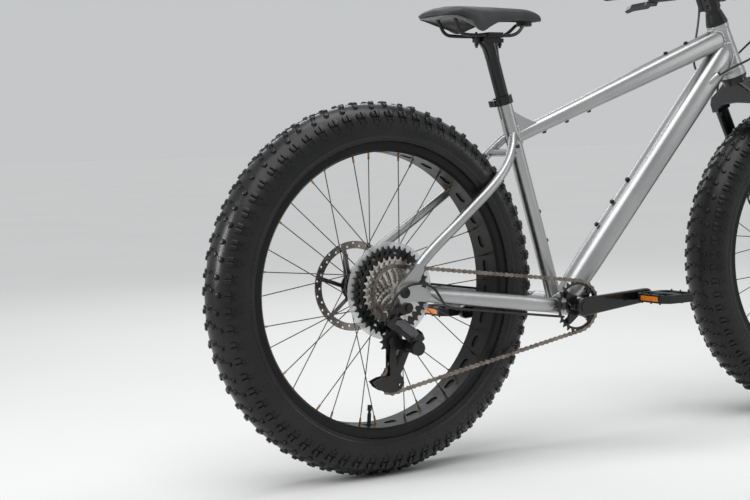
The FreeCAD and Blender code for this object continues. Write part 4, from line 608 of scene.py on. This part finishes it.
def tube_mesh(name, start, along, stations, start_line, end_line):
    """A hollow tube whose ends follow the round tubes they meet, each an origin, a direction and a radius.

    A station has its distance, half width, half height and squareness.
    """
    up_side = along.cross(Y_AXIS)
    length = stations[-1][0]

    def skin(angle, place, wall):
        wide, high, power = between(stations, place)
        across = math.copysign(abs(math.cos(angle)) ** (2 / power), math.cos(angle)) * (wide - wall)
        above = math.copysign(abs(math.sin(angle)) ** (2 / power), math.sin(angle)) * (high - wall)
        return start + along * (place / 1000) + (Y_AXIS * across + up_side * above) / 1000

    rows = []
    for step in range(TUBE_COLUMNS):
        angle = 2 * math.pi * (step + 0.5) / TUBE_COLUMNS
        first, last = 0.0, length
        while from_line(skin(angle, first, 0), *start_line[:2]) < start_line[2] and first < END_MOST:
            first += END_STEP
        while from_line(skin(angle, last, 0), *end_line[:2]) < end_line[2] and last > length - END_MOST:
            last -= END_STEP
        places = [first + (last - first) * index / TUBE_ROWS for index in range(TUBE_ROWS + 1)]
        outside = [skin(angle, place, 0) for place in places]
        rows.append(outside + [skin(angle, place, TUBE_WALL) for place in reversed(places)])
    return outward(grid_mesh(name, rows, close_rows=True))


DOWN_LENGTH = (DOWN_END - DOWN_START).length * 1000
TOP_LENGTH = (TOP_END - TOP_START).length * 1000
DOWN_STATIONS = [
    (0, 20, 17, 2.2), (60, 24, 27, 2.4), (DOWN_LENGTH / 2, 25, 28.5, 2.6), (DOWN_LENGTH - 70, 25, 30, 2.6),
    (DOWN_LENGTH, 21.5, 29, 2.4)]
TOP_STATIONS = [(0, 13.5, 13.5, 2.2), (150, 17, 15.5, 2.4), (380, 20, 20, 2.6), (TOP_LENGTH, 20.5, 24, 2.6)]
SEAT_WALL = 0.0149
SEAT_LINE = (BRACKET, SEAT_UP, SEAT_WALL)
HEAD_LINE = (STEER_BASE, STEER_UP, 0.0226)
SHELL_LINE = (BRACKET, Y_AXIS, 0.0196)
GUSSET_STEPS = [
    (-11.0, 1.2), (-10.5, 0.4), (-9.5, 0.0), (-6.0, 0.0), (0.0, 0.0), (6.0, 0.0), (9.5, 0.0), (10.5, 0.4),
    (11.0, 1.2)]
GUSSET_HEAD = BRACKET + SEAT_UP * 0.432
GUSSET_REACH = 0.070
GUSSET_LIFT = 0.006
GUSSET_BEND = 0.14
TUBES = {
    "top_tube": tube_mesh("top_tube_skin", TOP_START, TOP_ALONG, TOP_STATIONS, SEAT_LINE, HEAD_LINE),
    "down_tube": tube_mesh("down_tube_skin", DOWN_START, DOWN_ALONG, DOWN_STATIONS, SHELL_LINE, HEAD_LINE)}


def gusset_row(side, inset):
    """The gusset's outline at a distance from the middle plane, up to the seat tube's wall."""
    top_up = Vector((-TOP_ALONG.z, 0, TOP_ALONG.x))
    seat_forward = Vector((SEAT_UP.z, 0, -SEAT_UP.x))
    inward = (TOP_START - GUSSET_HEAD).normalized() * (inset / 1000)
    foot = TOP_START + TOP_ALONG * GUSSET_REACH + top_up * GUSSET_LIFT
    middle = foot.lerp(GUSSET_HEAD, 0.5)
    bend = middle + (TOP_START - middle) * GUSSET_BEND
    wall = math.sqrt(SEAT_WALL ** 2 - (side / 1000) ** 2)
    row = []
    for step in range(25):
        share = step / 24
        point = foot * (1 - share) ** 2 + bend * (2 * share * (1 - share)) + GUSSET_HEAD * share ** 2 + inward
        short = wall - (point - BRACKET).dot(seat_forward)
        row.append(point + seat_forward * max(short, 0.0) + Y_AXIS * (side / 1000))
    return row + [TOP_START + seat_forward * wall + top_up * GUSSET_LIFT + Y_AXIS * (side / 1000)]


TUBES["gusset"] = outward(grid_mesh("gusset_skin", [gusset_row(*step) for step in GUSSET_STEPS], cap=True))
for name, mesh in TUBES.items():
    made = add_object(name + "_skin", mesh, ALUMINIUM, "frame", 30.0)
    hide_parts("top_tube" if name == "gusset" else name)

# Weld beads round the frame's joints


def surface_of(node):
    mesh = NODES[node].data
    return BVHTree.FromPolygons(
        [vertex.co for vertex in mesh.vertices], [polygon.vertices for polygon in mesh.polygons])


def joint_line(tube, onto, origin, along):
    """Points where the tube's surface, followed along, meets the other tube."""
    tube_surface = surface_of(tube)
    wall = surface_of(onto)
    across = along.cross(Y_AXIS).normalized()
    points = []
    for step in range(240):
        angle = 2 * math.pi * step / 240
        out = Y_AXIS * math.cos(angle) + across * math.sin(angle)
        skin = tube_surface.ray_cast(origin + out * 0.08, -out)[0]
        if skin:
            met = wall.ray_cast(skin + out * 0.0006, along, 0.16)[0]
            if met:
                points.append(met)
    widest = max(range(len(points)), key=lambda index: (points[index] - points[index - 1]).length)
    closed = (points[widest] - points[widest - 1]).length < 0.008
    return points[widest:] + points[:widest], closed


def evenly(points, closed, spacing):
    points = points + points[:1] if closed else points
    lengths = [0.0]
    for before, after in zip(points, points[1:]):
        lengths.append(lengths[-1] + (after - before).length)
    count = max(int(lengths[-1] / spacing), 8)
    made = []
    place = 0
    for index in range(count if closed else count + 1):
        wanted = lengths[-1] * index / count
        while place < len(lengths) - 2 and lengths[place + 1] < wanted:
            place += 1
        share = (wanted - lengths[place]) / max(lengths[place + 1] - lengths[place], 1e-9)
        made.append(points[place].lerp(points[place + 1], share))
    return made


BEAD_RADIUS = 0.0030
SCALE_SHAPE = (0.80, 0.98, 1.08, 1.12)


def weld(name, tube, onto, origin, along):
    points, closed = joint_line(tube, onto, origin, along)
    points = evenly(points, closed, 0.0009)
    radii = [BEAD_RADIUS * SCALE_SHAPE[index % len(SCALE_SHAPE)] for index in range(len(points))]
    made = add_object("weld_" + name, swept(name, points, radii, 10, closed), ALUMINIUM, "frame", 60.0)


weld("top_to_head", "top_tube", "head_tube", TOP_END - TOP_ALONG * 0.075, TOP_ALONG)
weld("down_to_head", "down_tube", "head_tube", DOWN_END - DOWN_ALONG * 0.085, DOWN_ALONG)
weld("top_to_seat", "top_tube", "seat_tube", TOP_START + TOP_ALONG * 0.055, -TOP_ALONG)
weld("down_to_bracket", "down_tube", "bottom_bracket_shell", DOWN_START + DOWN_ALONG * 0.06, -DOWN_ALONG)
weld("seat_to_bracket", "seat_tube", "bottom_bracket_shell", BRACKET + SEAT_UP * 0.06, -SEAT_UP)

# Saddle cushion, blown up a little as a tight cover, and its shell
# A section has its distance from the back, half width, crown, edge and depth

SADDLE_BACK = -456.0
SADDLE_NOSE = -184.0
SADDLE_TOP = 906.0
SADDLE_SECTIONS = [
    (0, 50, 2, -4, 9), (22, 69, 9, -1, 12), (48, 70, 9.5, -3, 18), (70, 64, 9.5, -4, 27),
    (94, 53, 9.5, -5, 37), (123, 42, 9, -4, 27), (145, 36, 9, -2.5, 20), (170, 31, 8.5, -1.5, 17),
    (200, 26, 8, -1, 16), (235, 21, 6.5, -2, 15.5), (272, 12, -3, -8, 10)]
PAD_WALL = 5.0
PAD_DEPTH = 13.0
PAD_COLUMNS = 40
BACK_DRAWS = ((0.4, 0.80), (1.5, 0.90), (4.0, 0.965), (8.0, 0.995))
NOSE_DRAWS = ((14.0, 0.985), (10.0, 0.95), (6.5, 0.88), (3.8, 0.77), (1.8, 0.62), (0.6, 0.42), (0.2, 0.25))
NOSE_HEART = 0.3
PAD_ROWS = 60
TURN_SHARE = 0.72
SIDE_BULGE = 0.07


def saddle_loop(x, half, crown, edge, depth, draw, heart, faces):
    """One closed section, over its outer face and back along its inner one.

    Each face is an inset, a drop and its least rise. Drawing shrinks the section about a share of its height.
    """
    low = edge - depth
    rows = []
    for inset, drop, rise, order in zip(*faces, (1, -1)):
        wide = half - inset
        top = crown - inset - drop
        side = max(edge - inset * 0.5 - drop, low + rise)
        top = max(top, side + 0.8)
        row = []
        for step in range(PAD_COLUMNS + 1):
            share = -1 + 2 * step / PAD_COLUMNS
            reach = min(abs(share) / TURN_SHARE, 1.0)
            fall = max(abs(share) - TURN_SHARE, 0) / (1 - TURN_SHARE)
            y = wide * (1 - SIDE_BULGE) * math.sin(reach * math.pi / 2)
            y += wide * SIDE_BULGE * (math.sin(fall * math.pi) - fall)
            z = side + (top - side) * math.cos(reach * math.pi / 2) ** 1.1 + (low - side) * fall
            keep = low + (crown - low) * heart
            row.append(mm(x, math.copysign(y, share) * draw, SADDLE_TOP + keep + (z - keep) * draw))
        rows += row[::order]
    return rows


def saddle_rows(faces, lift=lambda offset: 0.0):
    rows = []
    length = SADDLE_NOSE - SADDLE_BACK
    places = [(offset, draw, 0.0) for offset, draw in BACK_DRAWS]
    places += [(12 + (length - 30) * row / PAD_ROWS, 1.0, 0.0) for row in range(PAD_ROWS + 1)]
    places += [(length - left, draw, NOSE_HEART) for left, draw in NOSE_DRAWS]
    for offset, draw, heart in places:
        half, crown, edge, depth = between(SADDLE_SECTIONS, offset)
        depth -= lift(offset)
        rows.append(saddle_loop(SADDLE_BACK + offset, half, crown, edge, depth, draw, heart, faces))
    return rows


def blown_up(made, held, most):
    """Swells the cover with inside pressure, by most at the farthest, and holds the points the test names."""
    group = made.vertex_groups.new(name="held")
    group.add([vertex.index for vertex in made.data.vertices if held(vertex.index)], 1.0, "REPLACE")
    cloth = made.modifiers.new("cover", "CLOTH")
    cloth.settings.vertex_group_mass = "held"
    cloth.settings.use_pressure = True
    cloth.settings.uniform_pressure_force = 4.0
    cloth.settings.tension_stiffness = 40
    cloth.settings.compression_stiffness = 40
    cloth.settings.bending_stiffness = 5
    cloth.settings.effector_weights.gravity = 0
    cloth.collision_settings.use_collision = False
    cloth.point_cache.frame_end = 20
    for step in range(1, 21):
        bpy.context.scene.frame_set(step)
    swollen = made.evaluated_get(bpy.context.evaluated_depsgraph_get()).data
    moves = [after.co - before.co for before, after in zip(made.data.vertices, swollen.vertices)]
    made.modifiers.remove(cloth)
    for vertex, move in zip(made.data.vertices, moves):
        if move.length > most:
            move = move * (most / move.length)
        vertex.co += move
    bpy.context.scene.frame_set(1)


PAD_FACES = ((0.0, PAD_WALL), (0.0, PAD_DEPTH), (1.5, 1.5))
SHELL_FACES = ((PAD_WALL + 0.3, PAD_WALL + 3.3), (PAD_DEPTH + 0.3, PAD_DEPTH + 3.3), (4.5, 1.5))
cushion_mesh = outward(grid_mesh("cushion", saddle_rows(PAD_FACES), cap=True))
cushion = add_object("saddle_pad", cushion_mesh, COVER, None, 50.0)
loop_length = 2 * (PAD_COLUMNS + 1)
blown_up(cushion, lambda index: not 5 <= index % loop_length <= PAD_COLUMNS - 5, 0.0025)
cushion.modifiers.new("smooth", "SUBSURF").levels = 1
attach(cushion, "saddle")
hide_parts("saddle_cushion")


def shell_lift(offset):
    """How much less deep than the cushion the shell is; it shows below the cushion at the back."""
    return 6.0 * min(max((offset - 50) / 45, 0.0), 1.0) - 4.0


shell_mesh = outward(grid_mesh("shell", saddle_rows(SHELL_FACES, shell_lift), cap=True))
shell = add_object("saddle_shell_skin", shell_mesh, SHELL_GREY, "saddle", 40.0)
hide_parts("saddle_shell")

# Head of the seat post, the socket of the rails under the nose, and the bolts at the top of the seatstays

HEAD_ROWS = (
    (811, 0.0, 14.6, 14.6), (813, 0.04, 14.9, 14.8), (822, 0.25, 15.4, 14.8), (832, 0.5, 17.5, 14.8),
    (839, 0.8, 20.0, 14.4), (845, 1.0, 24.0, 14.2), (849, 1.0, 24.0, 14.2))
HEAD_FOOT_X = 1000 * (BRACKET.x + SEAT_UP.x * (0.811 - BRACKET.z) / SEAT_UP.z)
HEAD_TOP_X = -317.0


def oval(x, z, long, wide, count=40):
    turns = [2 * math.pi * index / count for index in range(count)]
    return [mm(x + long * math.cos(turn), wide * math.sin(turn), z) for turn in turns]


head_rows = []
for z, share, long, wide in HEAD_ROWS:
    head_rows.append(oval(HEAD_FOOT_X + (HEAD_TOP_X - HEAD_FOOT_X) * share, z, long, wide))
post_head = outward(grid_mesh("post_head", head_rows, cap=True))
add_object("seat_post_head", post_head, GLOSS_BLACK, "saddle", 50.0)
socket_rows = [oval(-225, z, long, wide) for z, long, wide in ((879, 15, 12), (880, 17, 14), (893, 17, 14))]
rail_socket = outward(grid_mesh("rail_socket", socket_rows, cap=True))
add_object("saddle_rail_socket", rail_socket, BLACK_PLASTIC, "saddle", 40.0)
for side, name in ((1, "left"), (-1, "right")):
    boss = sided(mm(-278, 29, 634), side)
    out = sided(Vector((0.40, 0.92, 0)), side)
    steps = [boss + out * reach for reach in (0.004, 0.0092, 0.0094, 0.0110, 0.0116)]
    bolt = swept("bolt", steps, (0.003, 0.003, 0.0042, 0.0042, 0.0034), 20)
    made = add_object("stay_bolt_" + name, bolt, BLACK_STEEL, "frame")

# Grips with ribs, a flange and a clamp ring

GRIP_RADIUS = 0.016
GRIP_BORE = 0.0112


def grip_profile():
    profile = [(0.0092, GRIP_BORE), (0.0092, GRIP_RADIUS + 0.0022), (0.0100, GRIP_RADIUS + 0.0030)]
    profile += [(0.0132, GRIP_RADIUS + 0.0030), (0.0142, GRIP_RADIUS + 0.0018)]
    profile.append((0.0155, GRIP_RADIUS - 0.0006))
    for rib in range(22):
        start = 0.0180 + rib * 0.0049
        for along, radius in ((0, -0.0008), (0.0008, 0.0), (0.0028, 0.0), (0.0036, -0.0008)):
            profile.append((start + along, GRIP_RADIUS + radius))
    end = GRIP_LENGTH - 0.0021
    profile += [(end - 0.003, GRIP_RADIUS - 0.0008), (end - 0.001, GRIP_RADIUS - 0.0014)]
    return profile + [(end, GRIP_RADIUS - 0.003), (end, GRIP_BORE)]


RING_PROFILE = [
    (0.0002, GRIP_BORE), (0.0002, GRIP_RADIUS + 0.0008), (0.0009, GRIP_RADIUS + 0.0015),
    (0.0080, GRIP_RADIUS + 0.0015), (0.0088, GRIP_RADIUS + 0.0008), (0.0088, GRIP_BORE)]
for side, name in ((1, "left"), (-1, "right")):
    start = sided(BAR_TIP - BAR_OUT * GRIP_LENGTH, side)
    axis = sided(BAR_OUT, side)
    for piece, profile, material, finish in (
            ("grip_", grip_profile(), SOFT_RUBBER, "soft_rubber"),
            ("grip_ring_", RING_PROFILE, BLACK_ALLOY, "black_alloy")):
        turned = lathe(piece + name, profile, start, axis, 72)
        made = add_object(piece + name, turned, material, "steering", 35.0)
        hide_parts("grips")

# Cover of the derailleur's outer link, and the rings at the axle's end

HUB_FACE = REAR - Y_AXIS * (DROPOUT_OUTER + 0.0002)
LINK_ALONG = Vector((0.8, 0, -0.6))
LINK_AXIS = LINK_ALONG.cross(Vector((0, 1, -2))).normalized()
LINK_ACROSS = LINK_AXIS.cross(LINK_ALONG)
BASE_PIN = REAR + mm(-24, -108, -53)
COVER_OUTLINE = [(-7, -8), (4, -17), (36, -17), (47, -13), (49, -4), (43, 3), (12, 3), (-4, 0)]
COVER_LEVELS = ((9.8, 0.94), (10.4, 1.0), (11.6, 1.0), (15.0, 0.62))


def link_point(along, across, out):
    return BASE_PIN + (LINK_ALONG * along + LINK_ACROSS * across - LINK_AXIS * out) / 1000


def facet_mesh(name, outline, levels):
    """A plate with flat slopes: each level is a height and the share of the outline's size there."""
    middle_u = sum(u for u, _ in outline) / len(outline)
    middle_v = sum(v for _, v in outline) / len(outline)
    rows = []
    for out, share in levels:
        row = []
        for u, v in outline:
            row.append(link_point(middle_u + (u - middle_u) * share, middle_v + (v - middle_v) * share, out))
        rows.append(row)
    return outward(grid_mesh(name, rows, cap=True))


cover_mesh = facet_mesh("link_cover", COVER_OUTLINE, COVER_LEVELS)
link_cover = add_object("derailleur_link_cover", cover_mesh, FACET_GREY, "derailleur_outer_link", 12.0)
AXLE_RING = [(0.0, 0.0062), (0.0, 0.0105), (0.0022, 0.0105), (0.0030, 0.0097), (0.0030, 0.0062)]
AXLE_RECESS = [(0.0006, 0.0036), (0.0006, 0.0058), (0.0024, 0.0058), (0.0024, 0.0036)]
AXLE_FORMS = (("axle_ring", AXLE_RING, BLACK_ALLOY), ("axle_recess", AXLE_RECESS, GLOSS_BLACK))
for name, profile, material in AXLE_FORMS:
    made = add_object(name, lathe(name, profile, HUB_FACE, -Y_AXIS, 48), material, "frame", 30.0)

# Tyres with linked knobs, sipes, sidewall ribs and mould hairs, in millimetres about the axle

CASING_CENTRE = 309.0
CASING_RADIUS = 51.5
KNOB_HEIGHT = 4.5
SECTORS = 34
FINE_STEPS = 8


def on_casing(theta, tilt, height):
    radius = CASING_RADIUS + height
    outer = CASING_CENTRE + radius * math.cos(tilt)
    return Vector((outer * math.cos(theta), radius * math.sin(tilt), outer * math.sin(theta))) / 1000


class TyreForm:
    def __init__(self):
        self.points = []
        self.faces = []

    def ring(self, points):
        start = len(self.points)
        self.points += points
        return list(range(start, start + len(points)))

    def bridge(self, first, second):
        count = len(first)
        for index in range(count):
            beside = (index + 1) % count
            self.faces.append((first[index], first[beside], second[beside], second[index]))

    def casing(self):
        rows = []
        for step in range(SECTORS * FINE_STEPS):
            theta = 2 * math.pi * step / (SECTORS * FINE_STEPS)
            row = []
            for tilt, height in casing_profile():
                row.append(on_casing(theta, math.radians(tilt), height))
            rows.append(self.ring(row))
        for first, second in zip(rows, rows[1:] + rows[:1]):
            self.bridge(first, second)

    def knob(self, theta, tilt, footprint, levels):
        """A block on the casing: each level is a height and how far the footprint is drawn in there."""
        middle_u = sum(u for u, _ in footprint) / len(footprint)
        middle_v = sum(v for _, v in footprint) / len(footprint)
        rings = []
        for height, share in levels:
            row = []
            for u, v in footprint:
                u = middle_u + (u - middle_u) * share
                v = middle_v + (v - middle_v) * share
                around = CASING_CENTRE + CASING_RADIUS * math.cos(tilt)
                row.append(on_casing(theta + u / around, tilt + v / CASING_RADIUS, height))
            rings.append(self.ring(row))
        for first, second in zip(rings, rings[1:]):
            self.bridge(first, second)
        self.faces.append(tuple(rings[-1]))

    def ridge(self, theta, tilt, start, end, width, height):
        """A thin raised line on the casing between two (around, across) places."""
        around = CASING_CENTRE + CASING_RADIUS * math.cos(tilt)
        length = math.dist(start, end)
        side = ((start[1] - end[1]) / length * width / 2, (end[0] - start[0]) / length * width / 2)
        rows = []
        for step in range(7):
            share = step / 6
            u = start[0] + (end[0] - start[0]) * share
            v = start[1] + (end[1] - start[1]) * share
            row = []
            for spread, lift in ((1.5, -0.4), (0.7, height), (-0.7, height), (-1.5, -0.4)):
                turn = theta + (u + side[0] * spread) / around
                lean = tilt + (v + side[1] * spread) / CASING_RADIUS
                row.append(on_casing(turn, lean, lift))
            rows.append(self.ring(row))
        for first, second in zip(rows, rows[1:]):
            self.bridge(first, second)
        self.faces += [tuple(reversed(rows[0])), tuple(rows[-1])]

    def hair(self, theta, tilt, height, length, lean):
        base = on_casing(theta, tilt, height)
        out = (on_casing(theta, tilt, height + 1) - base).normalized()
        tip = base + (out + lean).normalized() * length
        side = out.orthogonal().normalized() * 0.00032
        other = out.cross(side)
        start = self.ring([base + side, base - side * 0.5 + other, base - side * 0.5 - other, tip])
        a, b, c, top = start
        self.faces += [(a, b, top), (b, c, top), (c, a, top)]


def casing_profile():
    """Section of the casing as (tilt, height) points: tread arc, sidewall lines, bead and back."""
    half = []
    for tilt in range(0, 100, 4):
        half.append((tilt, 0.0))
    half += [
        (100.5, 0.0), (101.5, 0.6), (103, 0.6), (104, 0.0), (108, 0.0), (112, 0.0), (113, 0.5), (114.5, 0.5),
        (116, -0.6), (118.5, -2.2), (121, -5.5), (122, -9.0)]
    outer = [(-tilt, height) for tilt, height in reversed(half[1:])] + half
    inner = [(118, -10.0)] + [(tilt, -3.4) for tilt in range(108, -112, -12)] + [(-118, -10.0)]
    return outer + inner


def corners(long, wide, cut):
    a, b = long / 2, wide / 2
    return [
        (-a + cut, -b), (a - cut, -b), (a, -b + cut), (a, b - cut),
        (a - cut, b), (-a + cut, b), (-a, b - cut), (-a, -b + cut)]


def halves(long, wide, cut, gap):
    """Footprints of the two sides of a block with a slot across its middle."""
    a, b, g = long / 2, wide / 2, gap / 2
    right_half = [(g, -b), (a - cut, -b), (a, -b + cut), (a, b - cut), (a - cut, b), (g, b)]
    return [right_half, [(-u, -v) for u, v in right_half]]


SMALL_LEVELS = [
    (-0.6, 1.35), (0.7, 1.12), (KNOB_HEIGHT - 0.9, 1.0), (KNOB_HEIGHT - 0.2, 0.92), (KNOB_HEIGHT, 0.8)]
HALF_LEVELS = [
    (-0.6, 1.12), (0.9, 1.05), (KNOB_HEIGHT - 0.8, 1.0), (KNOB_HEIGHT - 0.2, 0.94), (KNOB_HEIGHT, 0.84)]
KNOB_ROWS = [(0.25, ((7, -0.14), (27, 0.0))), (0.75, ((0, -0.25), (15, -0.13), (33, 0.0)))]
KNOB_FOOT = corners(8.6, 8.6, 2.2)
SHOULDER_TILT = math.radians(54)
SHOULDER_FEET = halves(18.5, 12.5, 2.2, 2.2)


def tyre_mesh():
    draw = random.Random(7)
    form = TyreForm()
    form.casing()
    step = 2 * math.pi / SECTORS
    for sector in range(SECTORS):
        for side in (-1, 1):
            for share, knobs in KNOB_ROWS:
                for tilt, lead in knobs:
                    if tilt or side > 0:
                        theta = step * (sector + share + lead)
                        form.knob(theta, math.radians(tilt) * side, KNOB_FOOT, SMALL_LEVELS)
                for (tilt, lead), (next_tilt, next_lead) in zip(knobs, knobs[1:]):
                    start = math.radians(tilt) * side
                    reach = math.radians(next_tilt - tilt) * CASING_RADIUS * side
                    around = (next_lead - lead) * step * (CASING_CENTRE + CASING_RADIUS * math.cos(start))
                    form.ridge(step * (sector + share + lead), start, (0, 0), (around, reach), 2.8, 2.4)
                lean = Vector((draw.uniform(-0.3, 0.3), side * 0.8, draw.uniform(-0.3, 0.3)))
                form.hair(
                    step * (sector + share), math.radians(knobs[-1][0]) * side, KNOB_HEIGHT - 0.3,
                    draw.uniform(0.002, 0.0042), lean)
            for share in (0.27, 0.77):
                theta = step * (sector + share)
                tilt = SHOULDER_TILT * side
                for footprint in SHOULDER_FEET:
                    form.knob(theta, tilt, footprint, HALF_LEVELS)
                for place in (-6.4, 6.4):
                    form.ridge(theta, tilt, (place, side * 5.0), (place, side * 18.0), 2.4, 1.6)
                form.ridge(theta, tilt, (-6.4, side * 11.5), (6.4, side * 11.5), 2.0, 1.2)
                form.ridge(theta, tilt, (0, side * 19.0), (0, side * 26.0), 1.8, 1.0)
                lean = Vector((0, side * 0.5, 0))
                form.hair(theta, tilt, KNOB_HEIGHT - 0.3, draw.uniform(0.002, 0.004), lean)
    mesh = bpy.data.meshes.new("tyre")
    mesh.from_pydata(form.points, [], form.faces)
    return outward(mesh)


TYRE_MESH = tyre_mesh()
for end, centre in (("rear", REAR), ("front", FRONT)):
    tyre = add_object(end + "_tyre_tread", TYRE_MESH.copy(), TYRE, None, 32.0)
    tyre.location = centre
    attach(tyre, end + "_wheel")
    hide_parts(end + "_tyre")

# Floor, light and background


def floor_material():
    nodes = Nodes("floor")
    nodes.put(Roughness=0.9, Specular_IOR_Level=0.05)
    nodes.colour(nodes.ramp(nodes.noise(0.8, 2.0), (0.2, (0.79, 0.79, 0.79)), (0.8, (0.82, 0.82, 0.82))))
    return nodes.material


floor_mesh = bpy.data.meshes.new("floor")
floor_mesh.from_pydata([(-60, -60, 0), (60, -60, 0), (60, 60, 0), (-60, 60, 0)], [], [(0, 1, 2, 3)])
floor_mesh.materials.append(floor_material())
floor = bpy.data.objects.new("floor", floor_mesh)
bpy.context.scene.collection.objects.link(floor)


def lamp(name, kind, place, target, energy, **settings):
    data = bpy.data.lights.new(name, kind)
    data.energy = energy
    for key, value in settings.items():
        setattr(data, key, value)
    made = bpy.data.objects.new(name, data)
    made.location = place
    made.rotation_euler = (Vector(target) - Vector(place)).to_track_quat("-Z", "Y").to_euler()
    bpy.context.scene.collection.objects.link(made)


lamp("sky", "SUN", (-1.5, -2.0, 5.0), (0, 0, 0), 1.62, angle=math.radians(56))
lamp("top", "AREA", (0.1, 0.1, 3.0), (0, 0, 0.5), 26, shape="RECTANGLE", size=2.6, size_y=1.0)
lamp(
    "left", "AREA", (-3.4, 0.4, 1.5), (-0.3, 0, 0.8), 12, shape="RECTANGLE", size=0.5, size_y=1.6,
    spread=math.radians(90))
lamp("right", "AREA", (3.0, -2.4, 1.7), (0.2, 0, 0.6), 10, shape="RECTANGLE", size=0.5, size_y=1.8)
lamp("back", "AREA", (0.6, 3.0, 2.2), (0, 0, 0.5), 13, shape="RECTANGLE", size=2.6, size_y=0.5)

world = bpy.data.worlds.new("world")
bpy.context.scene.world = world
world.use_nodes = True
sky = world.node_tree
background = sky.nodes["Background"]
path = sky.nodes.new("ShaderNodeLightPath")
seen = path.outputs["Is Camera Ray"]
for ray in ("Is Glossy Ray", "Is Transmission Ray"):
    either = sky.nodes.new("ShaderNodeMath")
    either.operation = "MAXIMUM"
    sky.links.new(seen, either.inputs[0])
    sky.links.new(path.outputs[ray], either.inputs[1])
    seen = either.outputs[0]
LIT_STRENGTH = 0.26
SEEN_STRENGTH = 0.58
strength = sky.nodes.new("ShaderNodeMapRange")
strength.inputs["To Min"].default_value = LIT_STRENGTH
strength.inputs["To Max"].default_value = SEEN_STRENGTH
sky.links.new(seen, strength.inputs["Value"])
sky.links.new(strength.outputs["Result"], background.inputs["Strength"])
background.inputs["Color"].default_value = (0.96, 0.98, 1.0, 1)

bpy.context.scene.view_settings.view_transform = "Standard"
